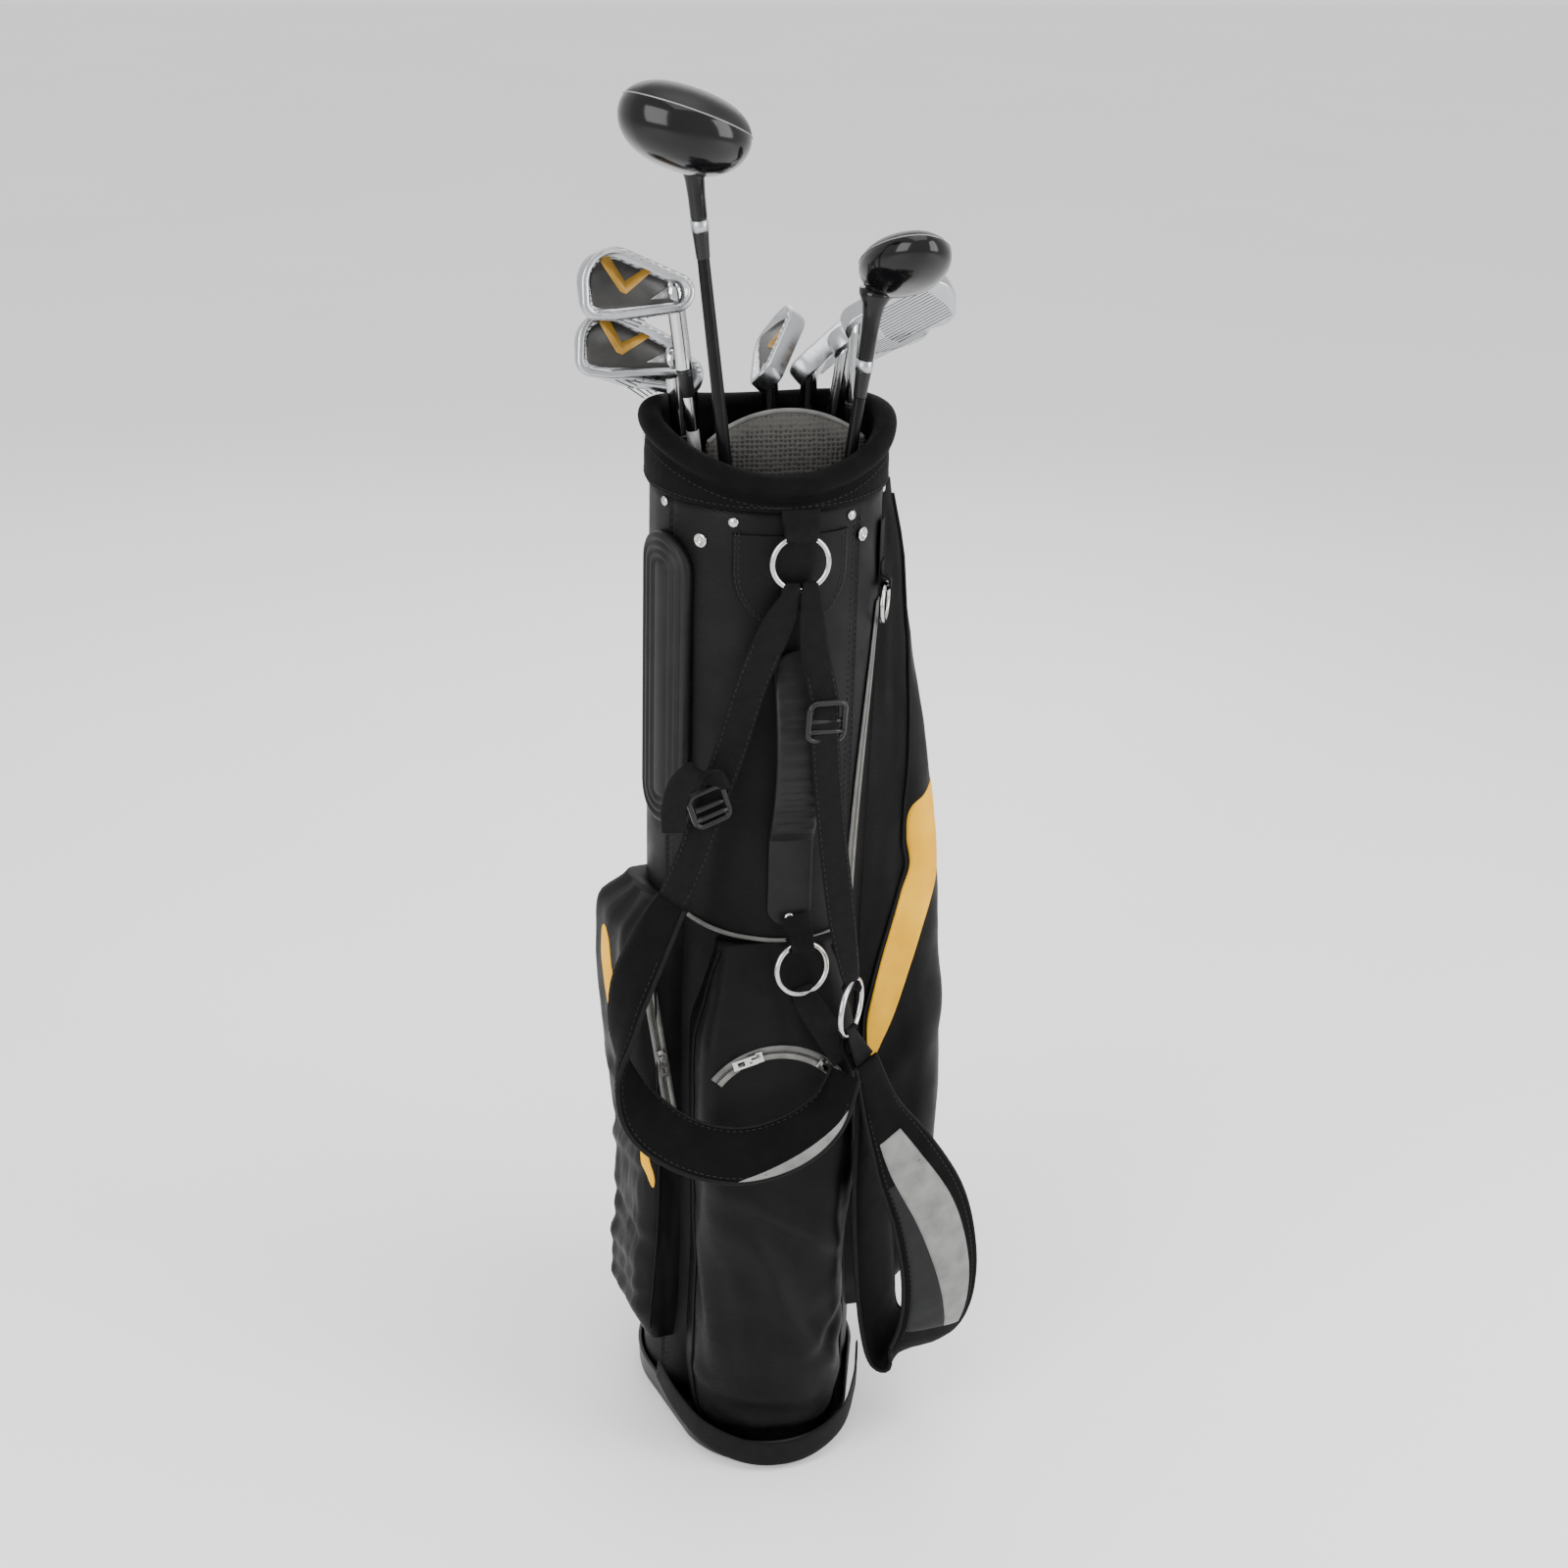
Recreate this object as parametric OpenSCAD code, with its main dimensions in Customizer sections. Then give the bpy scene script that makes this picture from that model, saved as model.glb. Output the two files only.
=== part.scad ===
// Golf bag with nine clubs. Millimetres, +Z up. The origin is the centre of the bag's round
// base on its underside, and the strap side of the bag faces -Y.

/* [Bag tube and cuff] */
// Outer radius of the fabric tube
tube_r = 93; // [92:0.5:94]
// Thickness of the tube's padded wall
tube_wall = 5; // [4:0.5:6]
// Height of the tube's top edge
tube_top = 855; // [850:1:858]
// Outer radius of the cuff's roll
cuff_r = 103; // [101:0.5:105]
// Thickness of the cuff's roll
roll_d = 19; // [17:0.5:20]
// Height of the cuff at the front
cuff_front = 885; // [882:1:890]
// Height of the cuff at its raised sides
cuff_side = 912; // [905:1:920]
// Height of the cuff at the back
cuff_back = 897; // [890:1:902]

/* [Boot] */
// Radius of the boot around the tube
boot_r = 98; // [97:0.5:100]
// Radius of the boot's nose under the ball pocket
nose_r = 76; // [70:1:80]
// How far the boot's nose reaches forward of the tube's axis
nose_reach = 158; // [150:1:160]
// Height of the boot's wall
boot_h = 24; // [22:1:28]
// Thickness of the boot's floor
boot_floor = 8; // [6:1:10]

/* [Dividers] */
// Height of the mesh divider's arched top
mesh_top = 918; // [900:1:920]
// Height of the mesh divider's lower edge
mesh_low = 775; // [770:1:800]
// Thickness of the mesh divider
mesh_t = 10; // [8:0.5:10]

/* [Steel rings] */
// Radius of a ring, from its centre to the middle of its wire
ring_r = 22; // [20:0.5:23]
// Radius of the rings' wire
wire_r = 2.2; // [1.8:0.1:2.4]

/* [Legs] */
// Length of a leg from its hinge to its foot
leg_len = 700; // [650:5:720]
// Radius of a leg's tube
leg_r = 6; // [5:0.5:7]

/* [Clubs] */
// Radius of a grip at its butt end
butt_r = 13.3; // [12.8:0.1:13.3]
// Length of a grip
grip_len = 265; // [255:1:270]
// Radius of a shaft under the grip
shaft_r = 7.3; // [7:0.1:7.5]
// Radius of a shaft at its tip
tip_r = 4.7; // [4.5:0.1:4.8]
// Angle between a shaft and its club's sole line
lie = 58; // [56:1:62]

/* [Hidden] */
$fn = 48;
eps = 0.01;
cloth_gap = 0.15;
cuff_gap = 0.2;
far = 1000;
tube_in = tube_r - tube_wall;
floor_z = boot_floor;
grip_z = 12;
rim_z = 880;
cuff_steps = 72;
mesh_y = -35;
nose_y = nose_r - nose_reach;
strap_t = 2.4;

// Each club: name, butt centre and rim crossing as [x, y], height of the heel, toe angle, loft
CLUBS = [
    ["driver", [72, -4], [-42, -53], 1120, 212, 10],
    ["hybrid", [-44, -57], [57, -48], 1012, 275, 20],
    ["iron_5", [67, 25], [-60, -16], 1008, 188, 27],
    ["iron_6", [26, -5], [-66, 21], 944, 177, 31],
    ["iron_7", [0, 70], [-53, 51], 922, 152, 35],
    ["iron_8", [24, -67], [68, 0], 972, -14, 39],
    ["iron_9", [-67, 22], [60, 35], 948, 4, 43],
    ["pitching_wedge", [31, 63], [44, 58], 922, 26, 47],
    ["sand_wedge", [21, 30], [15, 70], 914, 60, 55],
];

BAG = [
    "tube", "cuff", "boot", "mesh_divider", "rear_divider", "ring_patch", "top_ring", "carry_handle",
    "middle_ring", "side_pad", "left_pocket", "right_pocket", "ball_pocket", "zippers",
    "left_strap", "right_strap", "buckles", "left_pad", "right_pad", "strap_ring", "lift_handle",
    "towel_loop", "towel_ring", "rivets", "leg_bracket", "left_leg", "right_leg",
    "ball_slider_left", "ball_slider_right", "side_slider",
    "ball_pull_left", "ball_pull_right", "side_pull",
];

// ---- Helpers -------------------------------------------------------------------------------

function unit(v) = v / norm(v);
function ramp(t, a, b) = a + (b - a) * t;

// Closed solid through a list of rings that all have the same number of points
module skin(rings) {
    n = len(rings[0]);
    m = len(rings);
    sides = [for (i = [0 : m - 2], j = [0 : n - 1]) let (a = i * n + j, b = i * n + (j + 1) % n)
        each [[a, a + n, b + n], [a, b + n, b]]];
    low = [for (j = [0 : n - 1]) j];
    high = [for (j = [n - 1 : -1 : 0]) (m - 1) * n + j];
    polyhedron([for (ring = rings) each ring], concat([low, high], sides), convexity = 6);
}

// Closed band through rings of points that come back to the first ring
module loop_skin(rings) {
    n = len(rings[0]);
    m = len(rings);
    faces = [for (i = [0 : m - 1], j = [0 : n - 1])
        let (k = (i + 1) % m, a = i * n + j, b = i * n + (j + 1) % n, c = k * n + j, d = k * n + (j + 1) % n)
        each [[a, c, d], [a, d, b]]];
    polyhedron([for (ring = rings) each ring], faces, convexity = 6);
}

// Flat band of webbing: each stop is [point, direction of the width, width, thickness]
function band_ring(stops, i) =
    let (
        last = len(stops) - 1,
        run = unit(stops[min(i + 1, last)][0] - stops[max(i - 1, 0)][0]),
        across = unit(stops[i][1] - run * (stops[i][1] * run)),
        up = cross(run, across),
        w = across * stops[i][2] / 2,
        t = up * stops[i][3] / 2,
        p = stops[i][0]
    )
    [p - w - t, p + w - t, p + w + t, p - w + t];
module band(stops) {
    skin([for (i = [0 : len(stops) - 1]) band_ring(stops, i)]);
}

// Padded band with rounded edges, on stops of the same form
function pad_ring(stops, i) =
    let (
        last = len(stops) - 1,
        run = unit(stops[min(i + 1, last)][0] - stops[max(i - 1, 0)][0]),
        across = unit(stops[i][1] - run * (stops[i][1] * run)),
        up = cross(run, across)
    )
    [for (a = [0 : 36 : 359]) stops[i][0] + across * stops[i][2] / 2 * cos(a) + up * stops[i][3] / 2 * sin(a)];
module pad(stops) {
    skin([for (i = [0 : len(stops) - 1]) pad_ring(stops, i)]);
}

// Point on a cylinder around the bag: angle from the front, positive towards +X
function around(a, r, z) = [r * sin(a), -r * cos(a), z];

// Turns the children so that +Z runs along a vector
module aim(v) {
    rotate([0, acos(v.z / norm(v)), atan2(v.y, v.x)]) children();
}

// Room for the tube, cut from whatever is sewn or bolted to it
module around_tube() {
    cylinder(r = tube_r + cloth_gap, h = 2 * far, center = true, $fn = 96);
}

// ---- Bag -----------------------------------------------------------------------------------

module tube() {
    color("#161617") translate([0, 0, floor_z]) difference() {
        cylinder(r = tube_r, h = tube_top - floor_z, $fn = 96);
        translate([0, 0, -1]) cylinder(r = tube_in, h = tube_top - floor_z + 2, $fn = 96);
    }
}

neck_inset = 5;
// Height of the cuff's top edge around the mouth, 0 at the front
function cuff_top(a) =
    let (ends = ramp((1 - cos(a)) / 2, cuff_front, cuff_back), lift = abs(sin(a)))
    ends + (cuff_side - (cuff_front + cuff_back) / 2) * lift * lift;

function cuff_section(a) =
    let (top = cuff_top(a) - roll_d / 2, mid = cuff_r - roll_d / 2, neck = cuff_r - neck_inset)
    concat(
        [around(a, cuff_r - roll_d, tube_top), around(a, neck, tube_top), around(a, neck, top - roll_d / 2)],
        [for (t = [-30 : 30 : 180]) around(a, mid + roll_d / 2 * cos(t), top + roll_d / 2 * sin(t))]
    );

module cuff() {
    color("#0c0c0d") loop_skin([for (i = [0 : cuff_steps - 1]) cuff_section(i * 360 / cuff_steps)]);
}

// Outline of the boot: a circle around the tube and a smaller nose in front of it
module boot_outline(inset) {
    hull() {
        circle(r = boot_r - inset, $fn = 72);
        translate([0, nose_y]) circle(r = nose_r - inset, $fn = 72);
    }
}

module boot() {
    wall = 3;
    color("#3a3b3c") difference() {
        linear_extrude(boot_h) boot_outline(0);
        translate([0, 0, floor_z]) linear_extrude(boot_h) boot_outline(wall);
    }
}

module mesh_divider() {
    left = -54;
    right = 73;
    mid = (left + right) / 2;
    arch_r = 92;
    color("#6e6f6b") intersection() {
        translate([0, 0, mesh_low - 10]) cylinder(r = cuff_r - roll_d - cuff_gap, h = mesh_top - mesh_low + 20, $fn = 96);
        translate([0, mesh_y + mesh_t, 0]) rotate([90, 0, 0]) linear_extrude(mesh_t) intersection() {
            translate([left, mesh_low]) square([right - left, mesh_top - mesh_low]);
            union() {
                translate([mid, mesh_top - arch_r]) circle(r = arch_r, $fn = 96);
                translate([left, mesh_low]) square([right - left, mesh_top - arch_r - mesh_low]);
            }
        }
    }
}

module rear_divider() {
    low = 838;
    high = 868;
    thick = 3;
    color("#1b1b1c") intersection() {
        cylinder(r = cuff_r - roll_d - cuff_gap, h = far, $fn = 96);
        translate([-2, mesh_y + mesh_t, low]) cube([thick, far, high - low]);
    }
}

// Webbing folded over a bar along X: a flat ring, its slot [depth, height]
module webbing_loop(width, depth, height) {
    rotate([0, 90, 0]) linear_extrude(width, center = true) difference() {
        webbing_outline(depth / 2 + strap_t, height);
        webbing_outline(depth / 2, height);
    }
}
module webbing_outline(r, height) {
    hull() {
        circle(r = r);
        translate([height, 0]) circle(r = r);
    }
}

// Shield-shaped patch on the front of the tube, with the webbing loop that holds the top ring
module ring_patch() {
    patch_t = 2;
    color("#101011") {
        difference() {
            intersection() {
                cylinder(r = tube_r + patch_t, h = far, $fn = 96);
                rotate([90, 0, 0]) linear_extrude(far) polygon([
                    [-46, 836], [56, 836], [52, 806], [14, 760], [-4, 760], [-42, 806]]);
            }
            around_tube();
        }
        translate([ring_x, -ring_out, ring_z + ring_r + 1]) webbing_loop(width = 22, depth = 8, height = 6);
    }
}

ring_x = 9;
ring_z = 816;
ring_out = tube_r + 8.6;
module ring(r) {
    rotate_extrude($fn = 64) translate([r, 0]) circle(r = wire_r, $fn = 24);
}

module top_ring() {
    color("#c9c9c6") translate([ring_x, -ring_out, ring_z]) rotate([90, 0, 0]) ring(ring_r);
}

// Rubber grip that bows out from the front of the tube, with a flat riveted end below it
handle_top = 742;
handle_low = 500;
handle_half = 18;
handle_bow = 24;
// Shares of the handle's length: where its grip ends, and where its bow starts and how far it runs
grip_share = 0.68;
bow_start = 0.05;
bow_share = 0.63;
grip_half_t = 4.5;
end_half_t = 1.5;
handle_gap = 4.8;
function handle_ring(z) =
    let (
        t = (handle_top - z) / (handle_top - handle_low),
        out = t < grip_share ? handle_bow * sin(180 * min(max((t - bow_start) / bow_share, 0), 1)) : 0,
        thick = t < grip_share ? grip_half_t : end_half_t
    )
    [for (a = [0 : 30 : 359]) [ring_x + handle_half * cos(a), -tube_r - handle_gap - out + thick * sin(a), z]];
module carry_handle() {
    steps = 20;
    color("#1c1c1d") skin([for (i = [0 : steps]) handle_ring(ramp(i / steps, handle_low, handle_top))]);
}

middle_ring_at = [17, -tube_r - 25, 470];
module middle_ring() {
    color("#c9c9c6") translate(middle_ring_at) rotate([82, 0, 12]) ring(ring_r);
}

// Moulded hip pad on the left side
module side_pad() {
    turn = 25;
    round_r = 30;
    stretch = 95;
    pad_z = 700;
    pad_depth = 22;
    color("#19191a") difference() {
        translate([-tube_r * cos(turn), -tube_r * sin(turn), pad_z]) rotate([0, 0, turn]) rotate([0, -90, 0])
            linear_extrude(pad_depth, center = true) hull() {
                translate([stretch, 0]) circle(r = round_r);
                translate([-stretch, 0]) circle(r = round_r);
            }
        around_tube();
    }
}

// A pocket is a stack of rounded slices, each [height, angle, reach from the axis, half width,
// corner radius], cut by the tube
function pocket_ring(s) =
    let (
        out = [sin(s[1]), -cos(s[1]), 0],
        side = [cos(s[1]), sin(s[1]), 0],
        back = 40,
        turn = [0 : 30 : 90],
        arc = [for (t = turn) [s[2] - s[4] + s[4] * sin(t), s[3] - s[4] + s[4] * cos(t)]],
        half = concat([[back, s[3]]], arc),
        n = len(half),
        outline = concat([for (q = half) [q[0], -q[1]]], [for (i = [n - 1 : -1 : 0]) half[i]])
    )
    [for (q = outline) out * q[0] + side * q[1] + [0, 0, s[0]]];
module pocket(stack) {
    difference() {
        skin([for (s = stack) pocket_ring(s)]);
        around_tube();
    }
}

side_angle = -80;
side_half = 46;
module left_pocket() {
    color("#1d1e20") pocket([
        [70, side_angle, 106, 40, 10], [100, side_angle, 120, 44, 16], [180, side_angle, 116, side_half, 16],
        [260, side_angle, 116, side_half, 16], [330, side_angle, 125, side_half, 16],
        [400, side_angle, 131, side_half, 16], [455, side_angle, 133, side_half, 16],
        [484, side_angle, 131, side_half, 16], [506, side_angle, 108, 34, 10]]);
}

module right_pocket() {
    color("#141416") pocket([
        [72, 94, 120, 42, 16], [110, 94, 146, 50, 22], [220, 95, 160, 56, 26], [325, 95, 164, 56, 28],
        [440, 95, 157, 54, 28], [575, 97, 145, 50, 24], [720, 102, 122, 43, 18], [790, 105, 112, 37, 12],
        [848, 106, 101, 28, 8]]);
}

ball_low = [290, 144];
ball_high = [402, 128];
ball_tilt = atan((ball_low[1] - ball_high[1]) / (ball_high[0] - ball_low[0]));
module ball_pocket() {
    color("#111113") pocket([
        [floor_z, 0, 152, 64, 60], [60, 0, 152, 66, 58], [180, 0, 150, 64, 44],
        [ball_low[0], 0, ball_low[1], 66, 18], [ball_high[0], 0, ball_high[1], 66, 14],
        [445, 0, 114, 56, 14], [484, 0, 99, 48, 10]]);
}

// The three zippers in view, as flat tapes on their cloth
zip_t = 1.6;
zip_w = 12;
ball_zip_r = 66;
ball_zip_z = 334;
ball_zip_x = -4;
side_zip = [[-119.4, 482], [-88, 290]];
side_zip_turn = atan((side_zip[1][0] - side_zip[0][0]) / (side_zip[0][1] - side_zip[1][1]));

// Face of the ball pocket: +Z out of the cloth, the origin at the centre of the arched zipper
module on_ball_face() {
    reach = ramp((ball_zip_z - ball_low[0]) / (ball_high[0] - ball_low[0]), ball_low[1], ball_high[1]);
    translate([ball_zip_x, -reach, ball_zip_z]) rotate([90 - ball_tilt, 0, 0]) children();
}

// Front face of the left pocket: +Z out of the cloth, +Y up
module on_side_face() {
    translate(side_half * [cos(side_angle), sin(side_angle), 0]) rotate([90, 0, side_angle + 90]) children();
}

long_low = 445;
long_high = 735;
// Angle of the long zipper: straight at first, then bending to the side towards its top
function long_zip_angle(z) = 43 + 25 * pow(max(z - long_low, 0) / 320, 2.2);
module zippers() {
    gap = 0.05;
    arch_start = 43;
    arch_turn = 94;
    color("#7d7c76") {
        band([for (i = [0 : 8]) let (z = ramp(i / 8, long_low, long_high), a = long_zip_angle(z))
            [around(a, tube_r + 1.4, z), [cos(a), sin(a), 0], zip_w, zip_t]]);
        on_ball_face() translate([0, 0, gap]) rotate([0, 0, arch_start]) rotate_extrude(angle = arch_turn, $fn = 96)
            translate([ball_zip_r - zip_w / 2, 0]) square([zip_w, zip_t]);
        on_side_face() translate([side_zip[1][0], side_zip[1][1], gap]) rotate([0, 0, side_zip_turn])
            translate([-zip_w / 2, 0, 0]) cube([zip_w, norm(side_zip[0] - side_zip[1]), zip_t]);
    }
}

// Zipper slider: +Z out of the cloth and +Y along the zipper, with a bridge for its pull tab
bridge_low = 3;
bridge_h = 4.2;
bridge_gap = 2.6;
slider_w = 9;
slider_len = 12;
module slider_body() {
    translate([-slider_w / 2, -slider_len / 2, 0]) cube([slider_w, slider_len, bridge_low]);
    translate([-1.5, -4, bridge_low - eps]) difference() {
        cube([3, 8, bridge_h + eps]);
        translate([-1, 2, 0]) cube([5, 4, bridge_gap + eps]);
    }
}

// Pull tab: its end bar lies under the bridge and the tab runs along -Y
pull_z = 4.3;
pull_t = 1;
pull_w = 8;
pull_len = 20;
module pull_tab() {
    translate([0, 0, pull_z - pull_t / 2]) linear_extrude(pull_t) difference() {
        translate([-pull_w / 2, -pull_len]) square([pull_w, pull_len + 0.6]);
        translate([-2.2, -6]) square([4.4, 5.4]);
        translate([-2, -16]) square([4, 6]);
    }
}

ball_slider_angle = [106, 53];
side_slider_up = 78;
slider_gap = 0.4;
module on_ball_zip(k) {
    on_ball_face() rotate([0, 0, ball_slider_angle[k]]) translate([ball_zip_r, 0, zip_t + slider_gap]) children();
}
module on_side_zip() {
    on_side_face() translate([side_zip[1][0], side_zip[1][1], zip_t + slider_gap]) rotate([0, 0, side_zip_turn])
        translate([0, side_slider_up, 0]) children();
}
module ball_slider_left() { color("#d2d2cf") on_ball_zip(0) slider_body(); }
module ball_slider_right() { color("#d2d2cf") on_ball_zip(1) slider_body(); }
module side_slider() { color("#d2d2cf") on_side_zip() slider_body(); }
module ball_pull_left() { color("#d2d2cf") on_ball_zip(0) mirror([0, 1, 0]) pull_tab(); }
module ball_pull_right() { color("#d2d2cf") on_ball_zip(1) pull_tab(); }
module side_pull() { color("#d2d2cf") on_side_zip() pull_tab(); }

// ---- Harness -------------------------------------------------------------------------------

strap_ring_at = [54, -142, 444];
strap_w = 25;
tail_w = 20;
module left_strap() {
    face = [0.95, -0.2, 0];
    color("#0e0e0f") {
        band([
            [[1, -106, 792], face, 24, strap_t], [[-10, -110, 772], face, strap_w, strap_t],
            [[-28, -112, 724], face, strap_w, strap_t], [[-44, -112, 668], face, strap_w, strap_t],
            [[-58, -113, 628], face, strap_w, strap_t], [[-76, -117, 575], face, strap_w, strap_t],
            [[-92, -122, 540], [0.6, -0.7, -0.3], 26, strap_t]]);
        band([
            [[-55, -118, 636], face, tail_w, strap_t], [[-62, -124, 652], face, tail_w, strap_t],
            [[-75, -126, 655], face, tail_w, strap_t], [[-86, -124, 644], face, tail_w, strap_t],
            [[-91, -122, 622], face, tail_w, strap_t], [[-90, -121, 602], face, tail_w, strap_t]]);
    }
}

module right_strap() {
    face = [0.98, 0.15, 0];
    color("#0e0e0f") {
        band([
            [[14, -113, 790], face, 24, strap_t], [[20, -115, 746], face, 24, strap_t],
            [[26, -125, 712], face, 24, strap_t], [[27, -131, 676], face, 24, strap_t],
            [[34, -132, 606], face, 24, strap_t], [[44, -135, 530], face, 24, strap_t],
            [[52, -140, 472], face, 24, strap_t]]);
        band([
            [[22, -122, 446], [0.8, 0.2, 0.5], 24, strap_t], [[34, -138, 425], [0.8, 0.2, 0.5], 24, strap_t],
            [[48, -147, 400], [0.8, 0.2, 0.5], 24, strap_t]]);
    }
}

// Slider on the left strap and ladder-lock on the right one
buckle_t = 5;
buckle_rim = 4.5;
module buckle_frame(w, h) {
    difference() {
        cube([w, buckle_t, h], center = true);
        for (side = [-1, 1]) translate([0, 0, side * h / 4]) cube([w - 2 * buckle_rim, buckle_t + 1, h / 4], center = true);
    }
}
module buckles() {
    color("#0b0b0c") {
        translate([-62, -119.5, 622]) rotate([0, -18, 10]) buckle_frame(34, 34);
        translate([28, -129, 694]) rotate([0, 4, 12]) buckle_frame(35, 36);
    }
}

pad_t = 10;
pad_end_t = 6;
module left_pad() {
    face = [0, -0.7, -0.7];
    color("#161617") pad([
        [[-92, -122, 540], [0.6, -0.7, -0.3], 28, pad_end_t], [[-110, -126, 506], [0.3, -0.8, -0.4], 42, pad_t],
        [[-129, -135, 462], [0.1, -0.8, -0.6], 50, pad_t], [[-135, -149, 415], face, 50, pad_t],
        [[-122, -162, 374], face, 48, pad_t], [[-90, -173, 347], face, 46, pad_t],
        [[-45, -178, 334], face, 46, pad_t], [[0, -174, 340], face, 44, pad_t],
        [[32, -167, 361], face, 38, pad_t], [[48, -158, 392], [0.2, -0.6, -0.6], 28, pad_end_t]]);
}

module right_pad() {
    face = [0.95, 0.3, 0];
    tuck = [0.65, 0.76, 0];
    color("#8f8f8d") pad([
        [[66, -152, 398], [0.8, 0.6, 0], 26, pad_end_t], [[80, -156, 352], [0.88, 0.45, 0], 36, pad_t],
        [[102, -158, 305], face, 58, pad_t], [[126, -156, 250], face, 72, pad_t],
        [[139, -152, 190], face, 74, pad_t], [[140, -146, 140], face, 72, pad_t],
        [[131, -137, 106], face, 68, pad_t], [[114, -126, 92], face, 66, pad_t],
        [[99, -121, 106], tuck, 66, pad_t], [[92, -121, 150], tuck, 66, pad_t],
        [[86, -124, 210], tuck, 66, pad_t], [[80, -129, 270], tuck, 58, pad_t],
        [[74, -136, 330], tuck, 40, pad_t], [[68, -142, 372], tuck, 26, pad_end_t]]);
}

module strap_ring() {
    color("#c9c9c6") translate(strap_ring_at) rotate([0, 0, 57]) rotate([90, 0, 0]) ring(ring_r + 2);
}

// Webbing loop across the boot's nose for lifting the bag by its base
lift_w = 26;
module lift_handle() {
    up = [0, 0, 1];
    route = [[-92, -66, 44], [-90, -104, 36], [-66, -152, 26], [-18, -178, 18], [30, -172, 20], [70, -140, 30],
        [90, -100, 38], [92, -64, 44]];
    color("#0d0d0e") band([for (p = route) [p, up, lift_w, strap_t]]);
}

towel_angle = 68;
towel_out = tube_r + 7;
towel_z = 757;
towel_r = 16;
module at_towel() {
    translate(around(towel_angle, towel_out, towel_z)) rotate([0, 0, towel_angle]) children();
}
module towel_loop() {
    color("#0e0e0f") at_towel() translate([0, 0, towel_r]) {
        webbing_loop(width = 9, depth = 6.4, height = 5);
        translate([-tail_w / 2, 3.5, 10]) cube([tail_w, 2, 46]);
    }
}
module towel_ring() {
    color("#c9c9c6") at_towel() rotate([90, 0, 0]) ring(towel_r);
}

// Dome rivets and eyelets under the cuff, and the rivet at the handle's lower end
dome_z = 845;
eyelet_z = 826;
rivet_h = 1.5;
module rivets() {
    color("#d0cfca") {
        for (a = [-26, 35]) aim_out(a, dome_z) cylinder(r = 4, h = 2);
        for (a = [-43, 44]) aim_out(a, eyelet_z) cylinder(r = 5.5, h = rivet_h);
        translate([ring_x, -tube_r - handle_gap - end_half_t - 0.1, handle_low + 8]) rotate([90, 0, 0])
            cylinder(r = 3, h = rivet_h);
    }
}
module aim_out(a, z) {
    translate(around(a, tube_r, z)) rotate([0, 0, a]) rotate([90, 0, 0]) children();
}

// ---- Legs ----------------------------------------------------------------------------------

hinge_y = tube_r + 18;
hinge_z = 800;
hinge_x = 26;
splay = 22;
foot_r = 10;
foot_h = 30;
bracket_half = 44;
bracket_y = 40;
bracket_h = 44;
pin_r = 2.5;
pin_gap = 0.05;
barrel_len = 20;
cheek_t = 3;
cheek_in = 14;
leg_slant = 2.2;
module leg_bracket() {
    color("#232324") {
        difference() {
            translate([-bracket_half, bracket_y, hinge_z - bracket_h / 2])
                cube([2 * bracket_half, tube_r + 6 - bracket_y, bracket_h]);
            around_tube();
        }
        for (side = [-1, 1]) at_hinge(side) {
            rotate([0, 90, 0]) cylinder(r = pin_r, h = 2 * (cheek_in + cheek_t), center = true);
            for (x = [cheek_in, -cheek_in - cheek_t]) translate([x, -14, -6]) cube([cheek_t, 18, 12]);
        }
    }
}
module at_hinge(side) {
    translate([side * hinge_x, hinge_y, hinge_z]) rotate([0, 0, -side * splay]) children();
}
module leg(side) {
    color("#2b2c2e") at_hinge(side) rotate([0, -side * leg_slant, 0]) difference() {
        union() {
            translate([0, 0, -leg_len]) cylinder(r = leg_r, h = leg_len);
            rotate([0, 90, 0]) cylinder(r = leg_r + 2, h = barrel_len, center = true);
            translate([0, 0, -leg_len - 4]) cylinder(r = foot_r, h = foot_h);
        }
        rotate([0, 90 + side * leg_slant, 0]) cylinder(r = pin_r + pin_gap, h = 2 * barrel_len, center = true);
    }
}
module left_leg() { leg(-1); }
module right_leg() { leg(1); }

// ---- Clubs ---------------------------------------------------------------------------------

function foot_at(c) = [c[1].x, c[1].y, grip_z];
function rim_at(c) = [c[2].x, c[2].y, rim_z];
function lean(c) = unit(rim_at(c) - foot_at(c));
function club_len(c) = (c[3] - grip_z) / lean(c).z;

// Stands the children on a club's axis: the butt at the origin, +Z towards the head, +X to the toe
module on_club(c) {
    v = lean(c);
    heading = atan2(v.y, v.x);
    translate(foot_at(c)) aim(v) rotate([0, 0, c[4] - heading]) children();
}

module grip(c) {
    color("#141415") on_club(c) difference() {
        rotate_extrude() polygon([
            [0, 0], [butt_r - 2, 0], [butt_r, 2], [butt_r, 8], [8.6, grip_len - 2], [8, grip_len], [0, grip_len]]);
        translate([0, 0, butt_end]) cylinder(r = shaft_r, h = grip_len);
    }
}

butt_end = 6;
hosel_depth = 25;
hosel_r = 6.4;
function hosel_len(c) = c[0] == "driver" ? 46 : c[0] == "hybrid" ? 52 : 60;
function is_wood(c) = c[0] == "driver" || c[0] == "hybrid";
module shaft(c) {
    seat = club_len(c) - hosel_len(c);
    color(is_wood(c) ? "#1a1a1b" : "#c4c6c8") on_club(c) rotate_extrude() polygon([
        [0, butt_end], [shaft_r, butt_end], [shaft_r, grip_len], [tip_r, seat - 30], [tip_r, seat + hosel_depth],
        [0, seat + hosel_depth]]);
}

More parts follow.
